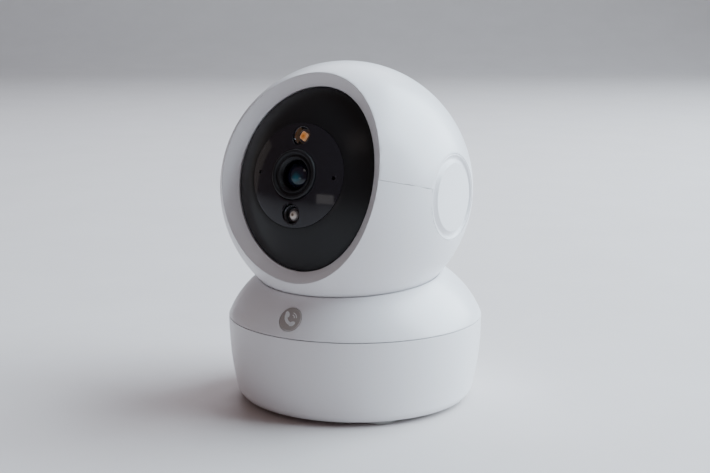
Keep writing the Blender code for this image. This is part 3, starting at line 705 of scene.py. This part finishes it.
# %% Skin the bezel
FRONT_Z, BACK_Z = 25, 20
outer, inner = (RIM_A, RIM_B), (FACE_A + 0.12, FACE_B + 0.12)
rings = [(*outer, FRONT_Z, ball_form), (*inner, FRONT_Z, dome_up)]
rings += [(*inner, BACK_Z, dome_deep), (*outer, BACK_Z, dome_deep)]
bezel = ovals("bezel", rings)
print("bezel rings", len(bezel.data.vertices) // 192)
soften(bezel, 0.3, 3, 75.0)
bezel.data.materials.append(SATIN_WHITE)
facing(bezel)
made(bezel, "head", "front_bezel")

# %% [markdown]
# ## Finish: black face and dark window
# The oval is a deep black moulding with a soft sheen. The round window in it is polished acrylic,
# a shade lighter and nearly a mirror, with the very faint ripple that a pressed sheet has. The
# ripple is a wide, shallow noise in the bump: without it the reflections look drawn with a ruler.

# %% Black gloss finishes
PALE, DEEP = (0.0135, 0.0135, 0.0145), (0.0115, 0.0115, 0.0125)
FACE_BLACK = plastic("face_black", PALE, DEEP, (0.28, 0.31), 3000.0, 0.01, strength=0.04)
constant(FACE_BLACK, "Specular IOR Level", 0.22)


def polished(name, pale, deep, gloss, ripple=60.0, depth=0.02, strength=0.1):
    """A polished surface, whose bump is a wide ripple instead of a grain."""
    look, tree, shader = shader_of(name)
    tint = ramp(tree, noise(tree, 40.0), (0.3, deep), (0.7, pale))
    tree.links.new(tint, shader.inputs["Base Color"])
    tree.links.new(spread(tree, noise(tree, 300.0), *gloss), shader.inputs["Roughness"])
    bump(tree, shader, noise(tree, ripple, 1.0), strength, depth)
    return look


PALE, DEEP = (0.0195, 0.0185, 0.0230), (0.0160, 0.0150, 0.0190)
ACRYLIC = polished("dark_acrylic", PALE, DEEP, (0.06, 0.11))
constant(ACRYLIC, "Specular IOR Level", 0.34)
print("face finishes ready")

# %% [markdown]
# ## The black face and the window
# The face is a thin domed shell with a round seat in its middle, and the window lies in that seat
# a hair below its edge. The face is skinned from ovals that turn into circles towards the seat.
# The window is round, so it is turned, and the holes for the lights and two pinholes are cut
# after. It is shaded smooth only across very slight bends, so that the narrow rims of its holes
# do not pull the shine of the flat round them out of shape.

# %% Skin the face


def blend(share):
    """Half sizes of an oval between the seat's circle at 0 and the face's outline at 1."""
    inner = WINDOW_R + 0.02
    return inner + (FACE_A - 0.15 - inner) * share, inner + (FACE_B - 0.15 - inner) * share


seat_z = face_z(WINDOW_R)
ledge_z = seat_z - 0.95
ledge = (WINDOW_R - 0.6, WINDOW_R - 0.6)
rings = [(*blend(share), 30, dome) for share in (1.0, 0.8, 0.6, 0.4, 0.2, 0.0)]
rings += [(*blend(0.0), ledge_z, None), (*ledge, ledge_z, None), (*ledge, seat_z - FACE_WALL, None)]
rings += [(*blend(share), BACK_Z, dome_down) for share in (0.4, 1.0)]
face = ovals("face", rings)
soften(face, 0.18, 3, 45.0)
POST_X, POST_Y, POST_FOOT = 12.5, 16.5, 21.4
post_top = face_z(20.7) - 1.3
outline = [(0.9, POST_FOOT), (1.9, POST_FOOT), (1.9, post_top), (0.9, post_top), (0.9, POST_FOOT)]
for x, y in ((POST_X, POST_Y), (-POST_X, POST_Y), (-POST_X, -POST_Y), (POST_X, -POST_Y)):
    post = turn("post", outline, 24)
    place(post, (x, y, 0))
    pick(face)
    post.select_set(True)
    bpy.ops.object.join()
smooth(face)
face.data.materials.append(FACE_BLACK)
facing(face)
made(face, "head", "face_cover")
for helper in (ball_form, dome, dome_up, dome_down, dome_deep):
    bpy.data.objects.remove(helper, do_unlink=True)

# %% Turn and drill the window
SHEET, SUNK = 0.75, 0.03
window_r = WINDOW_R - 0.04
lens_gap = BARREL_R + 0.22
radii = [lens_gap + (window_r - lens_gap) * k / 12 for k in range(13)]
outline = [(lens_gap, face_z(lens_gap) - SHEET)] + [(r, face_z(r) - SUNK) for r in radii]
outline += [(window_r, face_z(window_r) - SHEET), (12.5, face_z(12.5) - SHEET), outline[0]]
window = turn("window_disc", outline, 160)
for x in (-PIN_X, PIN_X):
    pin = rod("pin", 0.6, 25, 36, 24)
    place(pin, (x, 0, 0))
    carve(window, pin)
for y in (-LIGHT_UP, LIGHT_UP):
    hole = rod("light_hole", WELL_R + 0.12, 25, 36, 64)
    place(hole, (0, y, 0))
    carve(window, hole)
soften(window, 0.04, 2, 40.0)
smooth(window, 15.0)
window.data.materials.append(ACRYLIC)
facing(window)
made(window, "head", "window")

# %% [markdown]
# ## The lens
# The barrel is a black ring that stands half a millimetre proud of the window. Inside it steps
# down towards the glass in fine ridges, which real barrels have to kill stray light. The front
# glass is a strongly bulging dome with a coating that looks teal from one side and violet from
# the other. That coloured reflection is painted into the glass's own colour, in rings that a
# radial ramp lays round a point just off the axis, a little lower.

# %% Turn the barrel and the glass
BOARD_FRONT = 21.3
BORE_R = 4.4
tip = face_z(BARREL_R) + 0.6
outline = [(BORE_R, BOARD_FRONT), (7.0, BOARD_FRONT), (7.0, tip - 4.0), (BARREL_R, tip - 3.6)]
outline += [(BARREL_R, tip - 0.35), (7.75, tip), (7.1, tip), (6.75, tip - 0.35)]
outline += [(6.75, tip - 0.75), (6.2, tip - 0.85), (5.95, tip - 0.35), (5.55, tip - 0.35)]
r, z = 5.35, tip - 0.7
while z > tip - 2.0:
    outline += [(r, z), (r - 0.16, z - 0.1)]
    r, z = r - 0.05, z - 0.3
outline += [(5.12, tip - 2.4), (5.12, tip - 4.25), (BORE_R, tip - 4.25), (BORE_R, BOARD_FRONT)]
barrel = turn("lens_ring", outline, 128)
soften(barrel, 0.07, 2, 35.0)
PALE, DEEP = (0.013, 0.013, 0.015), (0.009, 0.009, 0.011)
BARREL_BLACK = plastic("barrel_black", PALE, DEEP, (0.42, 0.52), 5000.0, 0.01)
constant(BARREL_BLACK, "Specular IOR Level", 0.3)
barrel.data.materials.append(BARREL_BLACK)
facing(barrel)
made(barrel, "head", "lens_barrel")


def radial(tree, at, radius):
    """0 at a point in mm, and 1 at a radius from it, on the piece's own coordinates."""
    where = tree.nodes.new("ShaderNodeTexCoord")
    mapping = tree.nodes.new("ShaderNodeMapping")
    mapping.inputs["Location"].default_value = [-v / radius for v in at]
    mapping.inputs["Scale"].default_value = [1 / (radius * MM)] * 3
    tree.links.new(where.outputs["Object"], mapping.inputs["Vector"])
    length = tree.nodes.new("ShaderNodeVectorMath")
    length.operation = "LENGTH"
    tree.links.new(mapping.outputs["Vector"], length.inputs[0])
    return length.outputs["Value"]


def front_point(x, y, z):
    """Where a point of the face, given lying on its back, stands at rest, in mm."""
    t = radians(LOOK_UP)
    out, up = -z, y
    return (x, CENTRE[1] + out * cos(t) + up * sin(t), CENTRE[2] - out * sin(t) + up * cos(t))


COATED, tree, shader = shader_of("coated_glass")
# The base colour is a painted reflection: the coating's teal and violet, round a point a little
# below the axis, going to near black at the rim.
from_axis = radial(tree, front_point(0.2, -1.1, tip - 1.6), 6.5)
painted_coating_reflection = ramp(
    tree,
    from_axis,
    (0.0, (0.020, 0.130, 0.165)),
    (0.16, (0.014, 0.075, 0.100)),
    (0.30, (0.010, 0.022, 0.034)),
    (0.46, (0.016, 0.014, 0.030)),
    (0.70, (0.006, 0.006, 0.014)),
    (1.0, (0.003, 0.003, 0.005)),
)
tree.links.new(painted_coating_reflection, shader.inputs["Base Color"])
tree.links.new(spread(tree, noise(tree, 900.0), 0.015, 0.03), shader.inputs["Roughness"])
constant(COATED, "Specular IOR Level", 0.4)
constant(COATED, "Coat Weight", 0.25)
constant(COATED, "Coat Roughness", 0.05)
constant(COATED, "Coat Tint", (0.55, 0.85, 0.95, 1))

GLASS_R, BULGE_R = 4.9, 6.2
radii = [GLASS_R * (1 - k / 16) for k in range(17)]
outline = [(0, tip - 4.0), (5.0, tip - 4.0), (5.0, tip - 3.0)]
outline += [(r, tip - 1.55 - BULGE_R + sqrt(BULGE_R**2 - r * r)) for r in radii]
glass = turn("front_glass", outline, 96)
smooth(glass)
glass.data.materials.append(COATED)
facing(glass)
made(glass, "head", "lens_glass")
print("lens tip", round(tip, 2), "over the tilt axis")

# %% [markdown]
# ## The two lights
# Above and below the lens lie round dishes behind the window. The upper one holds a square white
# light, whose yellow phosphor shows when it is off. The lower one holds a round clear bead, the
# infrared lamp. The dish walls slope, and a low rim catches a bright glint on one side.

# %% Turn the dishes and set the lights
PALE, DEEP = (0.20, 0.21, 0.23), (0.10, 0.10, 0.11)
DISH = polished("dish_mirror", PALE, DEEP, (0.08, 0.16), 900.0, 0.05, 0.3)
constant(DISH, "Metallic", 1.0)
floor = face_z(LIGHT_UP) - 2.6
edge = face_z(LIGHT_UP) - 0.9
outline = [(0, BOARD_FRONT), (2.9, BOARD_FRONT), (WELL_R, floor - 1.0), (WELL_R, edge)]
outline += [(WELL_R - 0.25, edge), (WELL_R - 0.35, edge - 0.25), (WELL_R - 0.8, floor + 0.3)]
outline += [(WELL_R - 1.0, floor), (0, floor)]
for name, side in (("light", 1), ("infrared", -1)):
    dish = turn(f"{name}_dish", outline, 64)
    soften(dish, 0.05, 2)
    dish.data.materials.append(DISH)
    facing(dish, (0, side * LIGHT_UP, 0))
    made(dish, "head", f"{name}_well")

PHOSPHOR, tree, shader = shader_of("phosphor")
from_middle = radial(tree, front_point(0, LIGHT_UP, face_z(LIGHT_UP) - 1.6), 2.1)
amber, orange, peach = (0.66, 0.20, 0.03), (0.86, 0.34, 0.09), (0.95, 0.60, 0.36)
glow = ramp(tree, from_middle, (0.10, amber), (0.42, orange), (0.75, peach))
tree.links.new(glow, shader.inputs["Base Color"])
# The emission is a painted glow: the light is off, and the glow only brightens the phosphor's
# colour.
tree.links.new(glow, shader.inputs["Emission Color"])
constant(PHOSPHOR, "Emission Strength", 0.24)
tree.links.new(spread(tree, noise(tree, 1500.0), 0.25, 0.4), shader.inputs["Roughness"])
bump(tree, shader, noise(tree, 4000.0), 0.2, 0.02)

CHIP_SIDE, CHIP_TURN = 2.7, -28.0
chip = rounded_block("white_light", (CHIP_SIDE, CHIP_SIDE, 1.0), (0, 0, floor + 0.55), 0.6)
soften(chip, 0.12, 2)
chip.rotation_euler = (0, 0, radians(CHIP_TURN))
bake(chip)
chip.data.materials.append(PHOSPHOR)
facing(chip, (0, LIGHT_UP, 0))
made(chip, "head", "light_led")

BEAD, tree, shader = shader_of("clear_bead")
core = ramp(
    tree,
    radial(tree, front_point(0, -LIGHT_UP, floor + 1.3), 1.7),
    (0.0, (0.10, 0.07, 0.05)),
    (0.22, (0.14, 0.10, 0.08)),
    (0.34, (0.66, 0.58, 0.50)),
    (0.8, (0.74, 0.70, 0.66)),
    (1.0, (0.25, 0.24, 0.23)),
)
tree.links.new(core, shader.inputs["Base Color"])
tree.links.new(spread(tree, noise(tree, 800.0), 0.05, 0.12), shader.inputs["Roughness"])
constant(BEAD, "Coat Weight", 1.0)
BEAD_R, BEAD_H = 1.5, 0.9
outline = [(0, floor + 0.05), (1.7, floor + 0.05), (1.7, floor + 0.45)]
for t in range(0, 91, 15):
    outline.append((BEAD_R * cos(radians(t)), floor + 0.5 + BEAD_H * sin(radians(t))))
bead = turn("infrared_bead", outline, 48)
smooth(bead, 40.0)
bead.data.materials.append(BEAD)
facing(bead, (0, -LIGHT_UP, 0))
made(bead, "head", "infrared_led")

# %% [markdown]
# ## The side caps
# A round cap closes each end of the tilt axis. A fine gap runs round it, its edge lies flush with
# the ball, and a groove inside the edge sets off a flat disc that stands a hair proud, so it reads
# as a double ring. The outline is turned lying flat and then stood on its side, for each end.

# %% Turn two caps
ball_in = BALL_R - WALL
flange = sqrt(ball_in**2 - (CAP_R + 1.7) ** 2) - 0.5
cap_face = CAP_X + 0.02
cap_back = cap_face - 2.6
disc_z, groove = cap_face + 0.4, cap_face - 0.75
edge, flange_r = CAP_R - 0.12, CAP_R + 1.5
arm = 31.0 + 0.6
outline = [(0, cap_back), (0, disc_z), (edge - 2.98, disc_z), (edge - 1.7, groove)]
outline += [(edge - 1.0, groove), (edge - 0.53, cap_face - 0.03), (edge - 0.2, cap_face - 0.04)]
outline += [(edge, cap_face - 0.3), (edge, flange), (flange_r, flange), (flange_r, flange - 1.4)]
outline += [(6.5, flange - 1.4), (6.5, arm), (2.6, arm), (2.6, cap_back), (0, cap_back)]
for name, side in (("right", 1), ("left", -1)):
    cap = turn(f"cap_{name}", outline, 128)
    soften(cap, 0.12, 3, 30.0)
    place(cap, about_y=90.0 * side)
    level(cap)
    cap.data.materials.append(SATIN_WHITE)
    made(cap, "head", f"side_cap_{name}")

# %% [markdown]
# ## The call button
# A round key of warm grey stands on the front of the shoulder. It carries a picture of a handset
# and two small waves, in white ink. The key is turned, and the picture is skinned from short arcs
# that are extruded and then laid a hair above the key, because ink has almost no thickness.

# %% Turn the key
PALE, DEEP = (0.365, 0.325, 0.305), (0.330, 0.295, 0.276)
KEY_GREY = plastic("key_grey", PALE, DEEP, (0.34, 0.44), 3500.0, 0.015)
PALE, DEEP = (0.74, 0.74, 0.74), (0.70, 0.70, 0.70)
INK_WHITE = plastic("ink_white", PALE, DEEP, (0.38, 0.46), 4000.0, 0.01)
outline = [(0, -3.7), (1.2, -3.7), (1.2, -2.7), (4.7, -2.7), (4.7, -2.1), (4.05, -2.1)]
outline += [(4.05, -0.15), (3.8, 0.04), (3.0, 0.1), (1.5, 0.14), (0, 0.15)]
key = turn("call_key", outline, 96)
soften(key, 0.06, 2, 50.0)
key.data.materials.append(KEY_GREY)
at_button(key)
made(key, "call_button", "call_button")


def arc_band(name, radius, width, start, end, at, steps=24):
    """A flat band of ink bent round a point of the key, in degrees from the right."""
    piece = point(name, ((radius - width / 2) * MM, 0, 0))
    bpy.ops.mesh.extrude_vertices_move(TRANSFORM_OT_translate={"value": (width * MM, 0, 0)})
    bpy.ops.mesh.select_all(action="SELECT")
    bpy.ops.mesh.spin(steps=steps, angle=radians(start - end), center=(0, 0, 0), axis=(0, 0, 1))
    edit_done()
    piece.rotation_euler = (0, 0, radians(start))
    piece.location = (at[0] * MM, at[1] * MM, 0)
    bake(piece)
    return piece


def disc(name, half_width, half_height, at, turned_by):
    """A flat oval of ink, in mm and degrees."""
    bpy.ops.object.select_all(action="DESELECT")
    bpy.ops.mesh.primitive_circle_add(vertices=32, radius=MM, fill_type="NGON")
    piece = named(name)
    piece.scale = (half_width, half_height, 1)
    piece.rotation_euler = (0, 0, radians(turned_by))
    piece.location = (at[0] * MM, at[1] * MM, 0)
    bake(piece)
    return piece


# The handset lies on a diagonal: a bent grip between an ear piece and a mouth piece.
INK = 0.08
grip = arc_band("call_picture", 2.95, 1.05, 180, 270, (1.15, 1.30))
parts = [disc("ear", 0.75, 1.15, (-1.45, 1.45), 30), disc("mouth", 1.15, 0.75, (1.25, -1.50), 30)]
for k, radius in enumerate((1.15, 1.90)):
    parts.append(arc_band(f"wave_{k}", radius, 0.28, 8, 82, (0.35, 0.35)))
print("picture pieces", 1 + len(parts))
pick(grip)
for part in parts:
    part.select_set(True)
bpy.ops.object.join()
ink = grip.modifiers.new("ink", "SOLIDIFY")
ink.thickness = INK * MM
ink.offset = 0.0
apply_all(grip)
place(grip, (0, 0, 0.14))
grip.data.materials.append(INK_WHITE)
at_button(grip)
made(grip, "call_button")

# %% [markdown]
# ## Feet
# Four low rubber feet keep the base from sliding. Rubber is dull, a little darker where dust
# settles, and its moulded skin is finely pitted.

# %% Turn four feet
PALE, DEEP = (0.50, 0.50, 0.49), (0.40, 0.40, 0.39)
RUBBER = plastic("pale_rubber", PALE, DEEP, (0.62, 0.78), 1500.0, 0.05, strength=0.3)
FOOT_OUT = 31.5
outline = [(0, 0), (5.7, 0), (6.2, 0.12), (6.4, 0.45), (6.4, 1.0), (0, 1.0)]
for k, spot in enumerate(("front_right", "rear_right", "rear_left", "front_left")):
    angle = radians(90.0 * k - 45.0)
    foot = turn(f"pad_{spot}", outline, 64)
    smooth(foot)
    place(foot, (FOOT_OUT * cos(angle), FOOT_OUT * sin(angle), 0))
    foot.data.materials.append(RUBBER)
    made(foot, "base", f"foot_{spot}")

# %% [markdown]
# ## The power socket
# At the back a small metal socket lies sunk in its opening. Its shell is folded sheet steel, with
# a black tongue inside that carries five gilt contacts. A rounded block, hollowed by a smaller
# one, gives the folded shell its even wall.

# %% Shell, tongue and contacts


def metal(name, colour, gloss, grain=900.0, stretch=(1.0, 1.0, 12.0), tone=0.12):
    """Bare metal whose fine brushing is a noise stretched one way."""
    look, tree, shader = shader_of(name)
    deep = tuple(v * (1 - tone) for v in colour)
    streaks = noise(tree, grain, 4.0, 0.6, stretch)
    tree.links.new(ramp(tree, streaks, (0.3, deep), (0.7, colour)), shader.inputs["Base Color"])
    tree.links.new(spread(tree, streaks, *gloss), shader.inputs["Roughness"])
    bump(tree, shader, streaks, 0.15, 0.02)
    constant(look, "Metallic", 1.0)
    return look


STEEL = metal("bright_steel", (0.62, 0.63, 0.64), (0.22, 0.36))
GILT = metal("gilt", (0.86, 0.62, 0.28), (0.20, 0.30), 2000.0)
PORT_BLACK = plastic("socket_black", (0.02, 0.02, 0.022), (0.012, 0.012, 0.014), (0.4, 0.55))
port_low, port_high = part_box("power_port")
low, high = port_low.y / MM, port_high.y / MM
z = (port_low.z + port_high.z) / 2 / MM
socket = rounded_block("socket_shell", (7.8, high - low, 3.0), (0, (low + high) / 2, z), 0.9, "Y")
carve(socket, rounded_block("mouth", (7.0, 6.0, 2.2), (0, high - 2.4, z), 0.6, "Y"))
soften(socket, 0.08, 2)
socket.data.materials.append(STEEL)
made(socket, "base", "power_port")
tongue = rounded_block("socket_tongue", (5.2, 4.2, 0.7), (0, high - 3.2, z + 0.25), 0.2, "Y")
tongue.data.materials.append(PORT_BLACK)
smooth(tongue)
made(tongue, "base")
for k in range(5):
    at = (1.0 * (k - 2), high - 3.0, z - 0.13)
    contact = rounded_block(f"contact_{k}", (0.36, 3.4, 0.10), at, 0.04, "Y")
    contact.data.materials.append(GILT)
    made(contact, "base")

# %% [markdown]
# ## Finishes for the pieces inside
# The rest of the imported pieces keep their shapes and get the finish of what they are: nylon gears,
# zinc-plated motor cans, steel screws, green boards with their copper showing through, black
# mouldings, a paper speaker cone and a film aerial. The board's copper is a brick pattern, which
# gives straight runs and corners without drawing any one track.

# %% Board, nylon, zinc, aerial


def board(name, mask, copper, scale=420.0):
    """A circuit board: solder mask with copper runs showing through it."""
    look, tree, shader = shader_of(name)
    where = tree.nodes.new("ShaderNodeTexCoord")
    runs = tree.nodes.new("ShaderNodeTexBrick")
    runs.inputs["Scale"].default_value = scale
    runs.inputs["Mortar Size"].default_value = 0.045
    runs.inputs["Brick Width"].default_value = 0.9
    runs.inputs["Row Height"].default_value = 0.35
    runs.inputs["Color1"].default_value = (*mask, 1)
    runs.inputs["Color2"].default_value = (*(0.8 * v for v in mask), 1)
    runs.inputs["Mortar"].default_value = (*copper, 1)
    tree.links.new(where.outputs["Object"], runs.inputs["Vector"])
    tree.links.new(runs.outputs["Color"], shader.inputs["Base Color"])
    tree.links.new(spread(tree, noise(tree, 700.0), 0.28, 0.42), shader.inputs["Roughness"])
    bump(tree, shader, runs.outputs["Fac"], 0.3, 0.03)
    return look


MOULDING = ((0.022, 0.022, 0.024), (0.014, 0.014, 0.016))
CONE = ((0.035, 0.034, 0.032), (0.018, 0.018, 0.017))
SENSOR = ((0.05, 0.06, 0.09), (0.03, 0.035, 0.06))
FINISHES = {
    "board": board("circuit_board", (0.012, 0.105, 0.045), (0.05, 0.19, 0.075)),
    "nylon": plastic("nylon", (0.74, 0.73, 0.67), (0.66, 0.65, 0.59), (0.42, 0.55), 1800.0),
    "zinc": metal("zinc_plate", (0.60, 0.61, 0.62), (0.26, 0.40), 700.0),
    "black": plastic("black_moulding", *MOULDING, (0.42, 0.58), 1600.0),
    "paper": plastic("cone_paper", *CONE, (0.7, 0.85), 2500.0, 0.06, strength=0.35),
    "aerial": board("aerial_film", (0.46, 0.27, 0.09), (0.60, 0.33, 0.13), 160.0),
    "sensor": polished("sensor_glass", *SENSOR, (0.06, 0.12), 800.0),
    "steel": STEEL,
}
KINDS = {
    "board": ("base_board", "button_board", "camera_board"),
    "nylon": ("pan_gear", "pan_pinion", "tilt_gear", "tilt_pinion"),
    "zinc": ("pan_motor", "tilt_motor", "pan_retainer", "microphone", "light_sensor"),
    "black": ("base_deck", "turntable", "yoke", "card_socket", "reset_button"),
    "paper": ("speaker",),
    "aerial": ("antenna",),
    "sensor": ("image_sensor", "lens_rear"),
    "steel": ("tilt_shaft_left", "tilt_shaft_right"),
}
finish_of = {node: kind for kind, nodes in KINDS.items() for node in nodes}
for node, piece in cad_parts.items():
    kind = finish_of.get(node) or ("steel" if "screw" in node else None)
    if kind is None:
        continue
    piece.data.materials.clear()
    piece.data.materials.append(FINISHES[kind])
shown = [node for node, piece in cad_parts.items() if not piece.hide_render]
bare = [node for node in shown if node not in finish_of and "screw" not in node]
print("packed pieces still without a finish:", bare)

# %% [markdown]
# ## Stage, light and camera
# The camera stands on a pale table. A sheet that runs flat under the object and bends up behind
# it gives a floor with no hard horizon. A broad soft window light comes from the right and a
# little behind, and a weaker one from behind keeps the far edge clear. Three small faint lights
# in front and on the left draw the soft highlights, and the world's own warm light fills the shade.

# %% Floor sweep
HALF_WIDTH, NEAR_EDGE, FLAT, WALL_HIGH = 4.0, -3.0, 4.6, 3.0
BEND_R, BEND_STEP = 0.7, 7.5
sweep = point("floor", (-HALF_WIDTH, NEAR_EDGE, 0))
bpy.ops.mesh.extrude_vertices_move(TRANSFORM_OT_translate={"value": (2 * HALF_WIDTH, 0, 0)})
bpy.ops.mesh.select_all(action="SELECT")
bpy.ops.mesh.extrude_edges_move(TRANSFORM_OT_translate={"value": (0, FLAT, 0)})
for k in range(12):
    t0, t1 = radians(BEND_STEP * k), radians(BEND_STEP * (k + 1))
    step = (0, BEND_R * (sin(t1) - sin(t0)), BEND_R * (cos(t0) - cos(t1)))
    bpy.ops.mesh.extrude_edges_move(TRANSFORM_OT_translate={"value": step})
bpy.ops.mesh.extrude_edges_move(TRANSFORM_OT_translate={"value": (0, 0, WALL_HIGH)})
seal()
edit_done()
smooth(sweep)
place(sweep, (0, 0, -0.02))
sweep.rotation_euler = (0, 0, radians(31.0))
bake(sweep)
TABLE = plastic("pale_table", (0.68, 0.635, 0.625), (0.655, 0.61, 0.60), (0.55, 0.65), 300.0, 0.05)
sweep.data.materials.append(TABLE)
sweep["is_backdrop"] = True

# %% Lights and world


HEART = Vector((0, 0, 0.06))


def panel(name, azimuth, elevation, distance, size, power, colour):
    """A soft square light. Azimuth 0 stands in front of the camera's face, 90 on its right."""
    bpy.ops.object.light_add(type="AREA")
    lamp = named(name)
    a, e = radians(azimuth), radians(elevation)
    way = Vector((sin(a) * cos(e), -cos(a) * cos(e), sin(e)))
    lamp.location = HEART + way * distance
    lamp.rotation_euler = way.to_track_quat("Z", "Y").to_euler()
    lamp.data.shape = "RECTANGLE"
    lamp.data.size, lamp.data.size_y = size
    lamp.data.energy = power
    lamp.data.color = colour


panel("window_light", 132, 36, 1.3, (1.6, 1.3), 78, (0.74, 0.89, 1.0))
panel("front_light", 24, 50, 1.2, (0.30, 0.30), 0.3, (1.0, 0.88, 0.84))
panel("back_light", 212, 45, 1.3, (0.9, 0.9), 7.0, (0.90, 0.91, 1.0))
panel("left_light", -80, 12, 1.2, (0.42, 0.60), 0.24, (1.0, 0.92, 0.80))
panel("low_light", -1, 2, 1.1, (0.28, 0.14), 0.16, (1.0, 0.97, 0.97))
world = bpy.data.worlds.new("room")
bpy.context.scene.world = world
world.use_nodes = True
glow = world.node_tree.nodes["Background"]
glow.inputs["Color"].default_value = (1.0, 0.71, 0.70, 1)
glow.inputs["Strength"].default_value = 0.125

# %% Camera
bpy.ops.object.camera_add()
camera = named("view")
back = Vector((0.5063, -0.8425, 0.1840)).normalized()
aim = Vector((0, 0, 0.05611))
camera.location = Vector((0.2444, -0.4068, 0.1449))
camera.rotation_euler = back.to_track_quat("Z", "Y").to_euler()
camera.data.sensor_width = 36.0
camera.data.lens = 70.55
camera.data.clip_start = 0.01
bpy.context.scene.camera = camera
print("camera stands", round((camera.location - aim).length, 3), "m away")

# %% Measure and finish
low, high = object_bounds()
print("visual box in mm", [round(v / MM, 2) for v in (*low, *high)])
